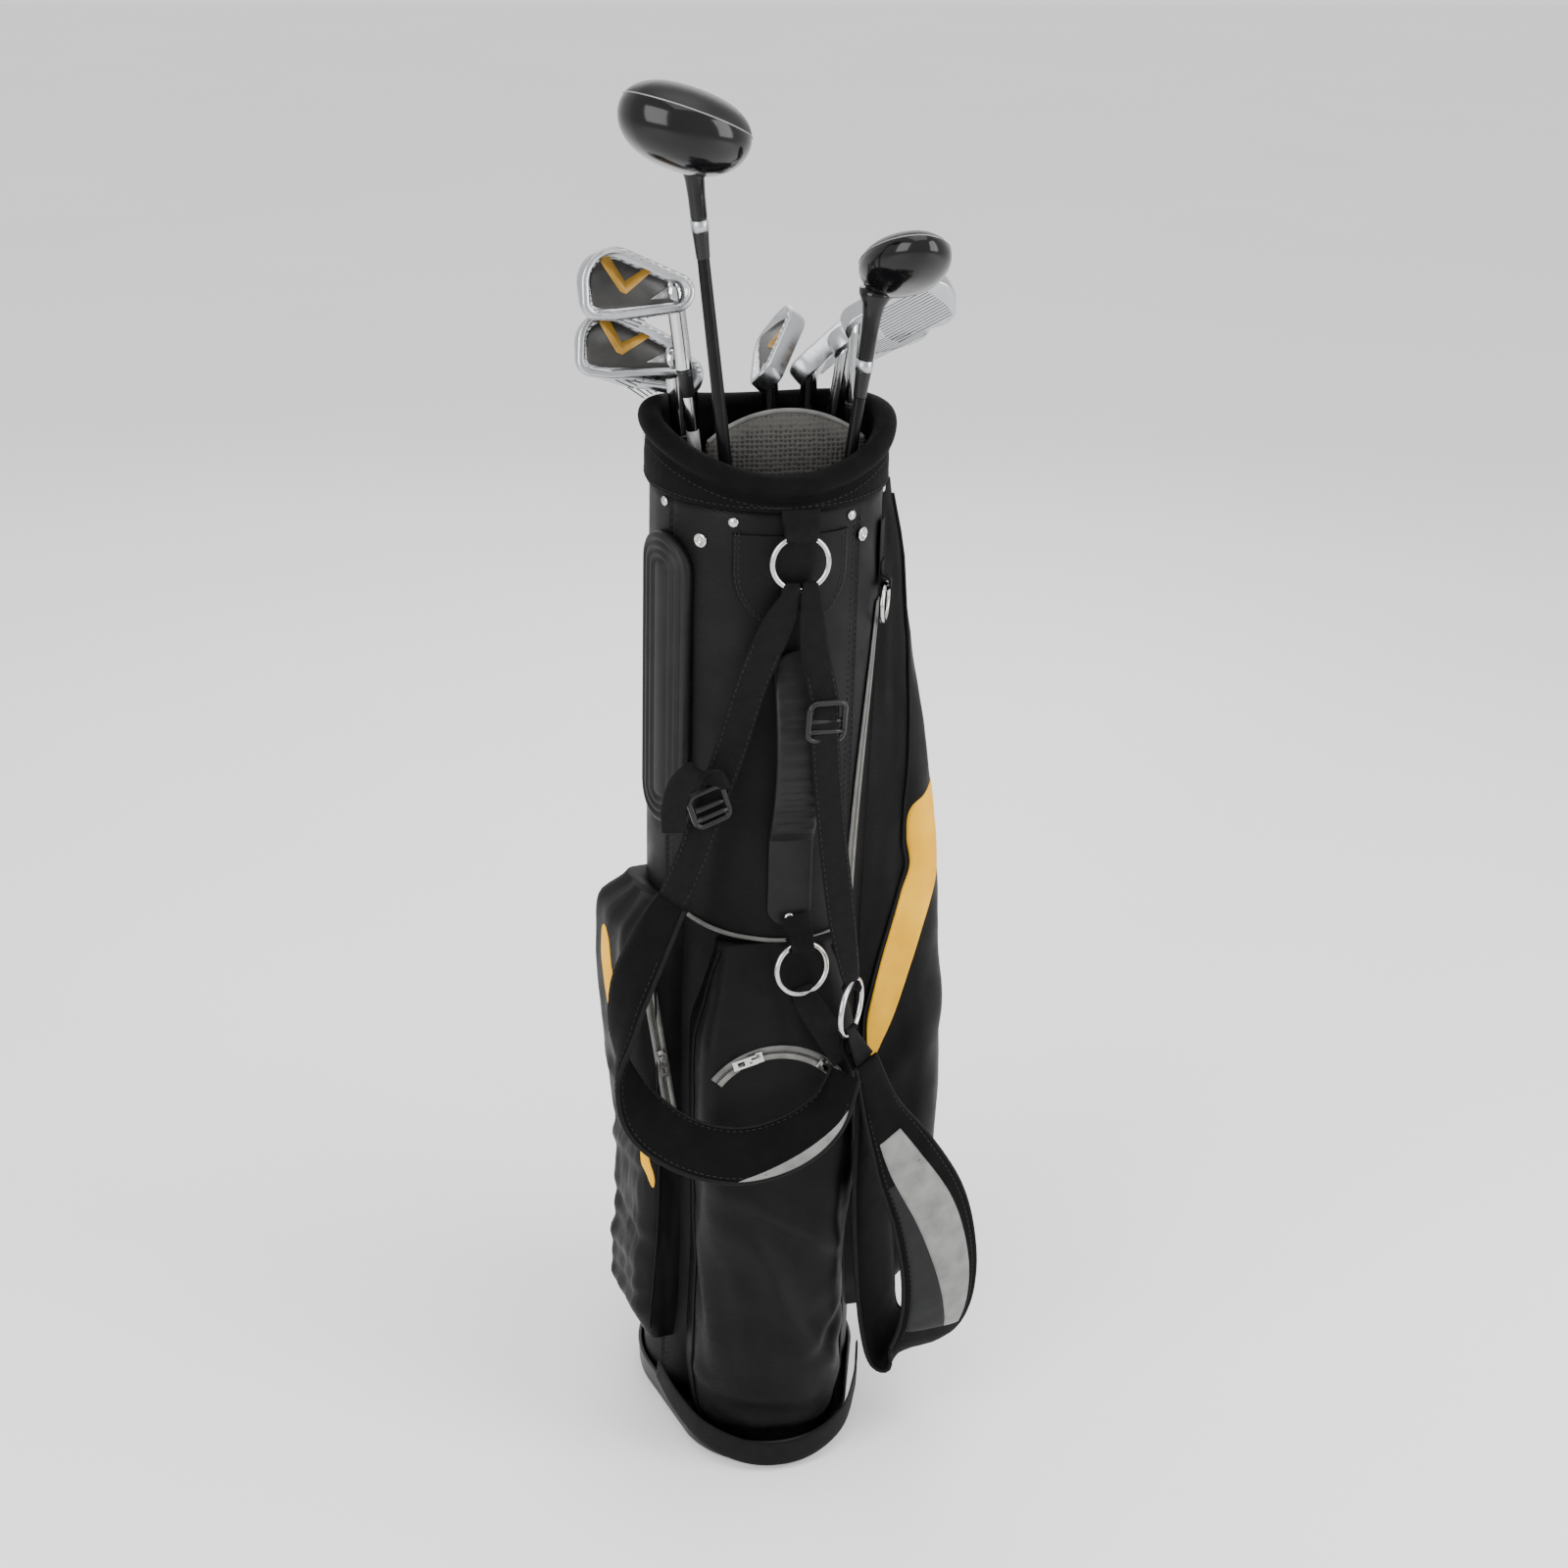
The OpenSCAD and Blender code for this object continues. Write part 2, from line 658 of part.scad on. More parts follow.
module hosel(c, r_top) {
    seat = club_len(c) - hosel_len(c);
    difference() {
        translate([0, 0, seat]) cylinder(r1 = hosel_r, r2 = r_top, h = hosel_len(c));
        translate([0, 0, seat - 1]) cylinder(r = tip_r, h = hosel_depth + 1);
    }
}

// Iron blade in its own plane: +X to the toe, +Z to the sole, the face towards -Y
module blade_outline() {
    hull() {
        translate([3, -1]) circle(r = 15);
        translate([52, -11]) circle(r = 27);
        translate([60, -28]) circle(r = 13);
    }
}
cavity_scale = 0.72;
module iron_head(c) {
    color("#b9bcbf") on_club(c) {
        hosel(c, 7);
        translate([0, 0, club_len(c)]) rotate([0, lie - 90, 0]) rotate([c[5], 0, 0]) difference() {
            intersection() {
                rotate([90, 0, 0]) linear_extrude(60, center = true) blade_outline();
                rotate([90, 0, 90]) translate([0, 0, -20]) linear_extrude(120)
                    polygon([[-4, 20], [14, 20], [14, 6], [2, -44], [-4, -44]]);
            }
            translate([9, 4, -3]) rotate([90, 0, 0]) mirror([0, 0, 1]) linear_extrude(60)
                scale(cavity_scale) blade_outline();
        }
    }
}

// Rounded wood head: half length, half depth, height of the crown and of the sole. The head's
// centre lies [heel, back] from the shaft's line, and face_cut is the face's distance in front of it
function wood_ring(v, size, n) =
    let (s = sin(v), up = -cos(v), r = pow(s, 0.8), z = up < 0 ? up * size[2] : up * size[3])
    [for (i = [0 : n - 1]) let (a = i * 360 / n) [size[0] * r * cos(a), size[1] * r * sin(a), z]];
module wood_shell(size) {
    skin([for (v = [6 : 12 : 174]) wood_ring(v, size, 28)]);
}
module wood_head(c, size, heel, back, face_cut) {
    color("#161617") on_club(c) {
        hosel(c, 9);
        translate([0, 0, club_len(c)]) rotate([0, lie - 90, 0]) difference() {
            translate([heel, back, 14]) wood_shell(size);
            rotate([c[5], 0, 0]) translate([-100, -100 - face_cut, -100]) cube([300, 100, 200]);
        }
    }
}
module head(c) {
    if (c[0] == "driver") wood_head(c, size = [52, 47, 32, 26], heel = 43, back = 32, face_cut = 13);
    else if (c[0] == "hybrid") wood_head(c, size = [49, 33, 22, 16], heel = 34, back = 12, face_cut = 17);
    else iron_head(c);
}

// ---- Assembly ------------------------------------------------------------------------------

tube();
cuff();
boot();
mesh_divider();
rear_divider();
ring_patch();
top_ring();
carry_handle();
middle_ring();
side_pad();
left_pocket();
right_pocket();
ball_pocket();
zippers();
ball_slider_left();
ball_slider_right();
side_slider();
ball_pull_left();
ball_pull_right();
side_pull();
left_strap();
right_strap();
buckles();
left_pad();
right_pad();
strap_ring();
lift_handle();
towel_loop();
towel_ring();
rivets();
leg_bracket();
left_leg();
right_leg();
for (club = CLUBS) {
    head(club);
    shaft(club);
    grip(club);
}
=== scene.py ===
# %% [markdown]
# # A golf bag with nine clubs
# The object is a slim black stand bag: a cloth tube on a moulded boot, with a padded cuff, three
# pockets, a shoulder harness, a folding pair of legs and nine clubs. The solid model of it is loaded
# first and is never moved. Everything below dresses that frame, piece by piece, in metres, +Z up.
# %% Load the frame
import math

import bpy
from mathutils import Matrix, Vector, noise


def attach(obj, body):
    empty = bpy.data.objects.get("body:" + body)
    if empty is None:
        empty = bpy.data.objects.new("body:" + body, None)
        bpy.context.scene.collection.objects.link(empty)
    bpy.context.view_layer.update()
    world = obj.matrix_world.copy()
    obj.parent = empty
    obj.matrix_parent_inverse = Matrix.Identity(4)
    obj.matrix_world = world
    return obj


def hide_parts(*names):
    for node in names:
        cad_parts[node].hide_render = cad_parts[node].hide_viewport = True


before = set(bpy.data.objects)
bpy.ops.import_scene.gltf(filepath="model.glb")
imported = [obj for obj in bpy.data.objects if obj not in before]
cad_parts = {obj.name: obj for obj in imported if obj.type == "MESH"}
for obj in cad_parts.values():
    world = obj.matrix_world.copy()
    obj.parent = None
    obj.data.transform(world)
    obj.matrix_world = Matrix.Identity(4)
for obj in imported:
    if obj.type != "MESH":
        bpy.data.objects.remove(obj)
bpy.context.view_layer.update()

# %% [markdown]
# ## Camera
# A long lens from above shows both the mouth of the bag and its front. A longer lens flattens the
# shape and a shorter one makes the heads too big for the boot, so this one stands two metres away.
# The camera is built from its direction, because turning it by angles in three steps hides mistakes.
# %% Camera
camera_side = math.radians(-11.0)
camera_tilt = math.radians(23.64)
camera_roll = math.radians(-1.67)
camera_turn = math.radians(0.6)
camera_away, camera_height = 1.964, 1.480

ahead = Vector((-math.sin(camera_side), math.cos(camera_side), 0))
right = Vector((math.cos(camera_side), math.sin(camera_side), 0))
ahead, right = (
    ahead * math.cos(camera_turn) + right * math.sin(camera_turn),
    right * math.cos(camera_turn) - ahead * math.sin(camera_turn),
)
gaze = ahead * math.cos(camera_tilt) - Vector((0, 0, math.sin(camera_tilt)))
up = ahead * math.sin(camera_tilt) + Vector((0, 0, math.cos(camera_tilt)))
right, up = (
    right * math.cos(camera_roll) - up * math.sin(camera_roll),
    up * math.cos(camera_roll) + right * math.sin(camera_roll),
)
lens = bpy.data.cameras.new("camera")
lens.lens = 58.95
lens.sensor_width = 36
lens.shift_y = -0.025
camera = bpy.data.objects.new("camera", lens)
camera.matrix_world = Matrix.LocRotScale(
    Vector((camera_away * math.sin(camera_side), -camera_away * math.cos(camera_side), camera_height)),
    Matrix((right, up, -gaze)).transposed(),
    None,
)
bpy.context.scene.collection.objects.link(camera)
bpy.context.scene.camera = camera
print("camera stands at", [round(v, 2) for v in camera.location])

# %% [markdown]
# ## Light and floor
# Black cloth shows only what it reflects, so the light comes from large soft panels on three sides,
# and a pale floor and world fill the rest. Small bright lamps would put hard spots on every chrome
# piece, which is why the panels are wide.
# %% Light and floor
world = bpy.data.worlds.new("studio")
world.use_nodes = True
world.node_tree.nodes["Background"].inputs["Color"].default_value = (1.0, 1.0, 1.0, 1)
world.node_tree.nodes["Background"].inputs["Strength"].default_value = 1.15
bpy.context.scene.world = world


def light_panel(name, place, target, width, height, power):
    """A rectangular soft light that faces a point."""
    data = bpy.data.lights.new(name, "AREA")
    data.shape = "RECTANGLE"
    data.size, data.size_y = width, height
    data.energy = power
    lamp = bpy.data.objects.new(name, data)
    lamp.location = place
    lamp.rotation_euler = (Vector(target) - Vector(place)).to_track_quat("-Z", "Y").to_euler()
    bpy.context.scene.collection.objects.link(lamp)


light_panel("panel_left", (-1.9, -1.5, 1.5), (0, 0, 0.55), 1.4, 1.8, 55)
light_panel("panel_right", (2.0, -1.1, 1.3), (0, 0, 0.55), 1.2, 1.8, 48)
light_panel("panel_top", (0.1, -0.5, 2.7), (0, 0, 0.8), 1.6, 1.6, 26)
light_panel("panel_back", (0.4, 2.0, 1.8), (0, 0, 0.7), 1.8, 1.4, 22)


def mesh_object(name, points, faces, smooth=True):
    """One mesh object made from points and faces."""
    data = bpy.data.meshes.new(name)
    data.from_pydata([tuple(p) for p in points], [], faces)
    data.validate()
    data.polygons.foreach_set("use_smooth", [smooth] * len(data.polygons))
    data.update()
    piece = bpy.data.objects.new(name, data)
    bpy.context.scene.collection.objects.link(piece)
    return piece


FLOOR_HALF, FLOOR_Z = 9, -0.0005
corners = [(x * FLOOR_HALF, y * FLOOR_HALF, FLOOR_Z) for x, y in ((-1, -1), (1, -1), (1, 1), (-1, 1))]
floor = mesh_object("floor", corners, [(0, 1, 2, 3)])
print("soft panels:", len(bpy.data.lights))

# %% [markdown]
# ## Finishes
# Every finish is a node material. Cloth gets a fine woven bump from two crossed bands, with noise
# that breaks up its colour and its shine; plastic gets a fine grain; steel gets faint brushing. The
# bands run in the object's own coordinates, so the weave stays on a piece when it moves.
# %% Finish helpers
def finish(name, colour, roughness, metallic=0.0, **sockets):
    """A material with one shader: the nodes and links are added by what follows."""
    made = bpy.data.materials.new(name)
    made.use_nodes = True
    shader = made.node_tree.nodes["Principled BSDF"]
    shader.inputs["Base Color"].default_value = (*colour, 1)
    shader.inputs["Roughness"].default_value = roughness
    shader.inputs["Metallic"].default_value = metallic
    for key, value in sockets.items():
        shader.inputs[key.replace("_", " ").title().replace("Ior", "IOR")].default_value = value
    return made


def node(made, kind, **values):
    """Adds a node and sets its inputs or its properties by name."""
    added = made.node_tree.nodes.new(kind)
    for key, value in values.items():
        if hasattr(added, key):
            setattr(added, key, value)
        else:
            added.inputs[key.replace("_", " ")].default_value = value
    return added


def link(made, out, into):
    """Joins one socket to another."""
    made.node_tree.links.new(out, into)


def place(made):
    """The object's own coordinates, which move with the piece."""
    return node(made, "ShaderNodeTexCoord").outputs["Object"]


def mottle(made, dark, pale, scale, detail=4.0, socket="Base Color"):
    """Noise between two colours, or two values, on one socket of the shader."""
    cloud = node(made, "ShaderNodeTexNoise", Scale=scale, Detail=detail)
    link(made, place(made), cloud.inputs["Vector"])
    ramp = node(made, "ShaderNodeValToRGB")
    ramp.color_ramp.elements[0].position = 0.32
    ramp.color_ramp.elements[1].position = 0.68
    for stop, value in zip(ramp.color_ramp.elements, (dark, pale)):
        stop.color = (*value, 1) if isinstance(value, tuple) else (value, value, value, 1)
    link(made, cloud.outputs["Fac"], ramp.inputs["Fac"])
    link(made, ramp.outputs["Color"], made.node_tree.nodes["Principled BSDF"].inputs[socket])


def bump(made, height, strength, distance=0.0006):
    """Adds a height to whatever bump the shader already has."""
    shader = made.node_tree.nodes["Principled BSDF"]
    relief = node(made, "ShaderNodeBump", Strength=strength, Distance=distance)
    link(made, height, relief.inputs["Height"])
    if shader.inputs["Normal"].links:
        link(made, shader.inputs["Normal"].links[0].from_socket, relief.inputs["Normal"])
    link(made, relief.outputs["Normal"], shader.inputs["Normal"])


def bands(made, direction, scale, distortion=0.4):
    """Ridges across X, Y, Z or DIAGONAL."""
    ridges = node(made, "ShaderNodeTexWave", bands_direction=direction, Scale=scale, Distortion=distortion)
    ridges.wave_type = "BANDS"
    link(made, place(made), ridges.inputs["Vector"])
    return ridges.outputs["Fac"]


def weave(made, scale, strength, distance=0.0006):
    """Two crossed sets of threads: one rises round the bag and one runs up it."""
    threads = node(made, "ShaderNodeMath", operation="MULTIPLY")
    link(made, bands(made, "DIAGONAL", scale), threads.inputs[0])
    link(made, bands(made, "Z", scale), threads.inputs[1])
    bump(made, threads.outputs[0], strength, distance)


def grain(made, scale, strength, distance=0.0004):
    """Fine pebbled grain."""
    cloud = node(made, "ShaderNodeTexNoise", Scale=scale, Detail=3.0)
    link(made, place(made), cloud.inputs["Vector"])
    bump(made, cloud.outputs["Fac"], strength, distance)


# %% [markdown]
# The cloths: a tight nylon for the tube and pockets, a soft knit for the cuff, ribbed webbing, grey
# spacer mesh, and a silver cloth with creases.
# %% Cloth finishes
nylon = finish("nylon", (0.002, 0.002, 0.0022), 0.5, specular_ior_level=0.12)
mottle(nylon, (0.0012, 0.0012, 0.0014), (0.003, 0.003, 0.0034), 9)
mottle(nylon, 0.42, 0.58, 26, socket="Roughness")
weave(nylon, 260, 0.35)
knit = finish("knit", (0.0015, 0.0015, 0.0016), 0.75, specular_ior_level=0.08)
mottle(knit, (0.001, 0.001, 0.0011), (0.0022, 0.0022, 0.0024), 60)
weave(knit, 330, 0.5)
webbing = finish("webbing", (0.002, 0.002, 0.0022), 0.62, specular_ior_level=0.12)
mottle(webbing, (0.0015, 0.0015, 0.0017), (0.0035, 0.0035, 0.004), 120)
weave(webbing, 420, 0.7, 0.0008)
binding = finish("binding", (0.002, 0.002, 0.0022), 0.7, specular_ior_level=0.15)
mottle(binding, (0.0015, 0.0015, 0.0017), (0.0035, 0.0035, 0.0038), 200)
grain(binding, 900, 0.4)
thread = finish("thread", (0.012, 0.012, 0.0125), 0.55, specular_ior_level=0.2)
mottle(thread, (0.008, 0.008, 0.0085), (0.018, 0.018, 0.019), 400)
grain(thread, 1500, 0.5)
grey_trim = finish("grey_trim", (0.1, 0.1, 0.095), 0.55)
mottle(grey_trim, (0.075, 0.075, 0.07), (0.12, 0.12, 0.114), 70)
weave(grey_trim, 500, 0.5)
yellow_cloth = finish("yellow_cloth", (0.8, 0.41, 0.012), 0.65, specular_ior_level=0.1)
mottle(yellow_cloth, (0.72, 0.35, 0.008), (0.88, 0.47, 0.02), 22)
weave(yellow_cloth, 420, 0.4)
silver_cloth = finish("silver_cloth", (0.15, 0.15, 0.145), 0.45, metallic=0.2)
mottle(silver_cloth, (0.12, 0.12, 0.115), (0.19, 0.19, 0.183), 60)
weave(silver_cloth, 600, 0.25)
slate_cloth = finish("slate_cloth", (0.005, 0.0052, 0.0058), 0.6, specular_ior_level=0.2)
mottle(slate_cloth, (0.0035, 0.0036, 0.004), (0.007, 0.0073, 0.008), 40)
weave(slate_cloth, 520, 0.5)
print("cloth finishes:", len(bpy.data.materials))

# %% [markdown]
# Spacer mesh is a net of small holes over a dark core. A cell pattern gives the holes, both as
# colour and as depth, so no hole has to be cut in the mesh. The colour darkens to near black in each
# hole: partly the dark core and partly painted shade inside the hole.
# %% Spacer mesh
air_mesh = finish("air_mesh", (0.16, 0.155, 0.14), 0.75)
holes = node(air_mesh, "ShaderNodeTexVoronoi", Scale=260.0, Randomness=0.25)
link(air_mesh, place(air_mesh), holes.inputs["Vector"])
# Hole colour: near black at each cell's middle, partly the dark core and partly painted shade in the hole.
hole_core_and_shade_ramp = node(air_mesh, "ShaderNodeValToRGB")
hole_core_and_shade_ramp.color_ramp.elements[0].position = 0.18
hole_core_and_shade_ramp.color_ramp.elements[1].position = 0.42
hole_core_and_shade_ramp.color_ramp.elements[0].color = (0.006, 0.0057, 0.0052, 1)
hole_core_and_shade_ramp.color_ramp.elements[1].color = (0.045, 0.043, 0.039, 1)
link(air_mesh, holes.outputs["Distance"], hole_core_and_shade_ramp.inputs["Fac"])
link(air_mesh, hole_core_and_shade_ramp.outputs["Color"], air_mesh.node_tree.nodes["Principled BSDF"].inputs["Base Color"])
bump(air_mesh, holes.outputs["Distance"], 0.9, 0.0012)
print("spacer mesh has", len(air_mesh.node_tree.nodes), "nodes")

# %% [markdown]
# The hard finishes: dark grained plastic, soft rubber, bright steel, the gloss and matt blacks of
# the woods, satin steel for the irons, and their painted inlays.
# %% Hard finishes
boot_plastic = finish("boot_plastic", (0.012, 0.012, 0.0125), 0.42, specular_ior_level=0.3)
mottle(boot_plastic, (0.009, 0.009, 0.0095), (0.016, 0.016, 0.017), 14)
grain(boot_plastic, 500, 0.25)
black_plastic = finish("black_plastic", (0.004, 0.004, 0.0045), 0.34, specular_ior_level=0.3)
mottle(black_plastic, (0.003, 0.003, 0.0033), (0.006, 0.006, 0.0065), 60)
grain(black_plastic, 800, 0.15)
rubber = finish("rubber", (0.004, 0.004, 0.0045), 0.5, specular_ior_level=0.22)
mottle(rubber, (0.003, 0.003, 0.0033), (0.006, 0.006, 0.0066), 50)
grain(rubber, 700, 0.3)
steel = finish("steel", (0.5, 0.495, 0.48), 0.16, metallic=1.0)
mottle(steel, 0.1, 0.26, 90, socket="Roughness")
grain(steel, 300, 0.04)
chrome = finish("chrome", (0.5, 0.505, 0.51), 0.09, metallic=1.0)
mottle(chrome, 0.06, 0.15, 40, socket="Roughness")
grain(chrome, 200, 0.02)
satin_steel = finish("satin_steel", (0.4, 0.41, 0.425), 0.3, metallic=1.0)
mottle(satin_steel, 0.24, 0.4, 160, socket="Roughness")
grain(satin_steel, 900, 0.08)
leg_paint = finish("leg_paint", (0.03, 0.031, 0.033), 0.35, metallic=0.5)
mottle(leg_paint, 0.28, 0.45, 30, socket="Roughness")
grain(leg_paint, 600, 0.06)
gloss_black = finish(
    "gloss_black", (0.002, 0.002, 0.0024), 0.14, specular_ior_level=0.2, coat_weight=0.12, coat_roughness=0.04
)
mottle(gloss_black, (0.002, 0.002, 0.0024), (0.005, 0.005, 0.0056), 18)
grain(gloss_black, 120, 0.015)
matt_black = finish("matt_black", (0.004, 0.004, 0.0045), 0.45, specular_ior_level=0.25)
mottle(matt_black, (0.003, 0.003, 0.0034), (0.006, 0.006, 0.0065), 30)
grain(matt_black, 900, 0.1)
graphite = finish("graphite", (0.003, 0.003, 0.0034), 0.3, specular_ior_level=0.15)
mottle(graphite, (0.002, 0.002, 0.0023), (0.004, 0.004, 0.0045), 80)
grain(graphite, 700, 0.05)
face_steel = finish("face_steel", (0.4, 0.4, 0.41), 0.42, metallic=0.85)
mottle(face_steel, 0.3, 0.48, 300, socket="Roughness")
bump(face_steel, bands(face_steel, "Z", 95, 0.0), 0.9, 0.0006)
insert_grey = finish("insert_grey", (0.014, 0.0135, 0.012), 0.4)
mottle(insert_grey, (0.01, 0.0095, 0.009), (0.02, 0.019, 0.017), 60)
grain(insert_grey, 1200, 0.15)
gold_paint = finish("gold_paint", (0.3, 0.16, 0.015), 0.4, metallic=0.2)
mottle(gold_paint, (0.25, 0.13, 0.01), (0.36, 0.19, 0.02), 90)
grain(gold_paint, 800, 0.08)
pale_paint = finish("pale_paint", (0.2, 0.2, 0.2), 0.4, metallic=0.4)
mottle(pale_paint, (0.15, 0.15, 0.15), (0.25, 0.25, 0.25), 60)
grain(pale_paint, 800, 0.08)
floor_paint = finish("floor_paint", (0.93, 0.93, 0.93), 0.85)
mottle(floor_paint, (0.915, 0.915, 0.915), (0.94, 0.94, 0.94), 1.5)
grain(floor_paint, 30, 0.02)
floor.data.materials.append(floor_paint)
print("finishes:", len(bpy.data.materials))

# %% [markdown]
# ## Shape helpers
# Nearly every soft piece here is a loft: a row of rings joined by faces. Hand modelling would give
# the same shapes, but a loft keeps each one tied to a few heights and widths that can be changed.
# A smooth curve through given points feeds both the lofts and the cords of piping.
# %% Loft, curve and strip helpers
MM = 0.001


def around(angle, radius, height):
    """Point round the bag in metres from degrees and millimetres: 0 faces the front, 90 is +X."""
    turn = math.radians(angle)
    return Vector((radius * math.sin(turn), -radius * math.cos(turn), height)) * MM


def loft(name, rings, loop=False):
    """Skin through rings with equal numbers of points; loop joins the last ring to the first."""
    count, rows = len(rings[0]), len(rings)
    faces = []
    for i in range(rows if loop else rows - 1):
        k = (i + 1) % rows
        for j in range(count):
            m = (j + 1) % count
            faces.append((i * count + j, i * count + m, k * count + m, k * count + j))
    if not loop:
        faces.append(tuple(range(count - 1, -1, -1)))
        faces.append(tuple((rows - 1) * count + j for j in range(count)))
    return mesh_object(name, [p for ring in rings for p in ring], faces)


def sheet_faces(rows, columns):
    """Faces of a closed sheet: a grid of quads, the same grid behind it, and quads round the rim."""
    wide, half = columns + 1, (rows + 1) * (columns + 1)
    faces = []
    for j in range(rows):
        for k in range(columns):
            a = j * wide + k
            faces.append((a, a + 1, a + wide + 1, a + wide))
            faces.append((half + a, half + a + wide, half + a + wide + 1, half + a + 1))
    rim = [j * wide for j in range(rows)] + [rows * wide + k for k in range(columns)]
    rim += [(rows - j) * wide + columns for j in range(rows)] + [columns - k for k in range(columns)]
    for a, b in zip(rim, rim[1:] + rim[:1]):
        faces.append((a, b, half + b, half + a))
    return faces


def smooth_between(stops, t):
    """Smooth value a share t of the way from the second of four stops to the third."""
    return [
        0.5 * (2 * q + (r - p) * t + (2 * p - 5 * q + 4 * r - w) * t * t + (3 * q - p - 3 * r + w) * t ** 3)
        for p, q, r, w in zip(*stops)
    ]


def curve(points, steps):
    """Smooth curve through points of any size, with that many steps between two of them."""
    pts = [tuple(p) for p in points]
    ends = [pts[0]] + pts + [pts[-1]]
    out = []
    for i in range(1, len(ends) - 2):
        out += [tuple(smooth_between(ends[i - 1:i + 3], s / steps)) for s in range(steps)]
    out.append(pts[-1])
    return out


def frames_along(path, hint):
    """Direction, width and out vectors at each point of a path; the hint gives the width."""
    made = []
    for i, p in enumerate(path):
        run = (path[min(i + 1, len(path) - 1)] - path[max(i - 1, 0)]).normalized()
        wide = hint[i] if isinstance(hint, list) else hint
        across = (wide - run * wide.dot(run)).normalized()
        made.append((run, across, run.cross(across)))
    return made


def pipe(name, path, radius, sides=10, loop=False):
    """Round cord along a path, in metres."""
    hint = Vector((0.13, 0.21, 1.0))
    rings = []
    for p, (run, across, out) in zip(path, frames_along(path, hint)):
        rings.append([p + (across * math.cos(a) + out * math.sin(a)) * radius
                      for a in (2 * math.pi * k / sides for k in range(sides))])
    return loft(name, rings, loop=loop)


def strip_section(width, thick, sides=16, square=4.0):
    """Rounded flat section: a squashed circle, with fuller corners the higher square is."""
    out = []
    for k in range(sides):
        a = 2 * math.pi * (k + 0.5) / sides
        c, s = math.cos(a), math.sin(a)
        reach = (abs(c) ** square + abs(s) ** square) ** (-1 / square)
        out.append((width / 2 * c * reach, thick / 2 * s * reach))
    return out


def strip(name, stops, steps=8):
    """Band through stops of [point, width direction, width, thickness], in millimetres."""
    rows = curve([(*s[0], *s[1], s[2], s[3]) for s in stops], steps)
    path = [Vector(r[:3]) * MM for r in rows]
    hints = [Vector(r[3:6]).normalized() for r in rows]
    rings = []
    for row, p, (run, across, out) in zip(rows, path, frames_along(path, hints)):
        rings.append([p + across * u + out * v for u, v in strip_section(row[6] * MM, row[7] * MM)])
    return loft(name, rings)


def dress(piece, made, body="bag", stands_for=()):
    """Gives a piece its finish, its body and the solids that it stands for."""
    piece.data.materials.clear()
    piece.data.materials.append(made)
    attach(piece, body)
    if stands_for:
        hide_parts(*stands_for)
    return piece


def recoat(made, *names):
    """Gives solids that stay in view their finish."""
    for name in names:
        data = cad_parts[name].data
        data.materials.clear()
        data.materials.append(made)


def stitches(name, path, outs, made=thread, length=3.2, gap=2.2, radius=0.35, body="bag"):
    """A row of short threads along a path, each one a small six-sided bead."""
    points, faces = [], []
    travelled, due = 0.0, 0.0
    for a, b, out in zip(path, path[1:], outs):
        step = (b - a).length
        while due <= travelled + step and step > 0:
            p = a.lerp(b, (due - travelled) / step)
            run = (b - a).normalized()
            side = run.cross(out).normalized()
            for t, r in ((-0.5, 0.25), (-0.3, 1.0), (0.3, 1.0), (0.5, 0.25)):
                for k in range(6):
                    c, s = math.cos(k * math.pi / 3), math.sin(k * math.pi / 3)
                    points.append(p + run * t * length * MM + (side * c + out * s * 0.7) * r * radius * MM)
            base = len(points) - 24
            for i in range(3):
                for k in range(6):
                    m = (k + 1) % 6
                    low = base + i * 6
                    faces.append((low + k, low + m, low + 6 + m, low + 6 + k))
            due += (length + gap) * MM
        travelled += step
    return dress(mesh_object(name, points, faces), made, body)


def creases(p, folds):
    """Sum of soft folds: each is [start, end, width, depth], with its ends given the way p is."""
    total = 0.0
    for a, b, width, depth in folds:
        a, b = Vector(a), Vector(b)
        run = b - a
        along = (p - a).dot(run) / run.length_squared
        away = (p - a - run * min(max(along, 0), 1)).length / width
        ends = math.sin(math.pi * min(max(along, 0.02), 0.98)) ** 0.6
        total += depth * ends * (math.exp(-away * away) - 0.45 * math.exp(-((away - 1.7) ** 2)))
    return total


print("helpers are ready")

# %% [markdown]
# ## The tube
# The body of the bag is nylon over a stiff tube, sewn from long panels. A plain cylinder would look
# like a pipe, so the loft's radius carries the panel seams, which pull the cloth in, and long faint
# ripples from noise, which a tall cloth wall always has.
# %% Tube
TUBE_R, TUBE_IN, TUBE_LOW, TUBE_TOP = 93, 88, 8, 855
SEAM_DEPTH, SEAM_WIDTH = 1.3, 1.1
SEAMS = (-62, 40, 128, -128)


def seam_dip(angle):
    """How far the seams pull the cloth in at an angle, in millimetres."""
    away = [abs((angle - s + 180) % 360 - 180) for s in SEAMS]
    return sum(SEAM_DEPTH * math.exp(-((a / SEAM_WIDTH) ** 2)) for a in away)


def tube_skin(angle, height):
    """Radius of the tube's cloth in millimetres."""
    x, y = math.sin(math.radians(angle)), math.cos(math.radians(angle))
    spot = Vector((x * 2.2, y * 2.2, height * 0.004))
    fine = Vector((x * 6, y * 6, height * 0.012))
    return TUBE_R + 0.9 * noise.noise(spot) + 0.35 * noise.noise(fine) - seam_dip(angle) + 0.4


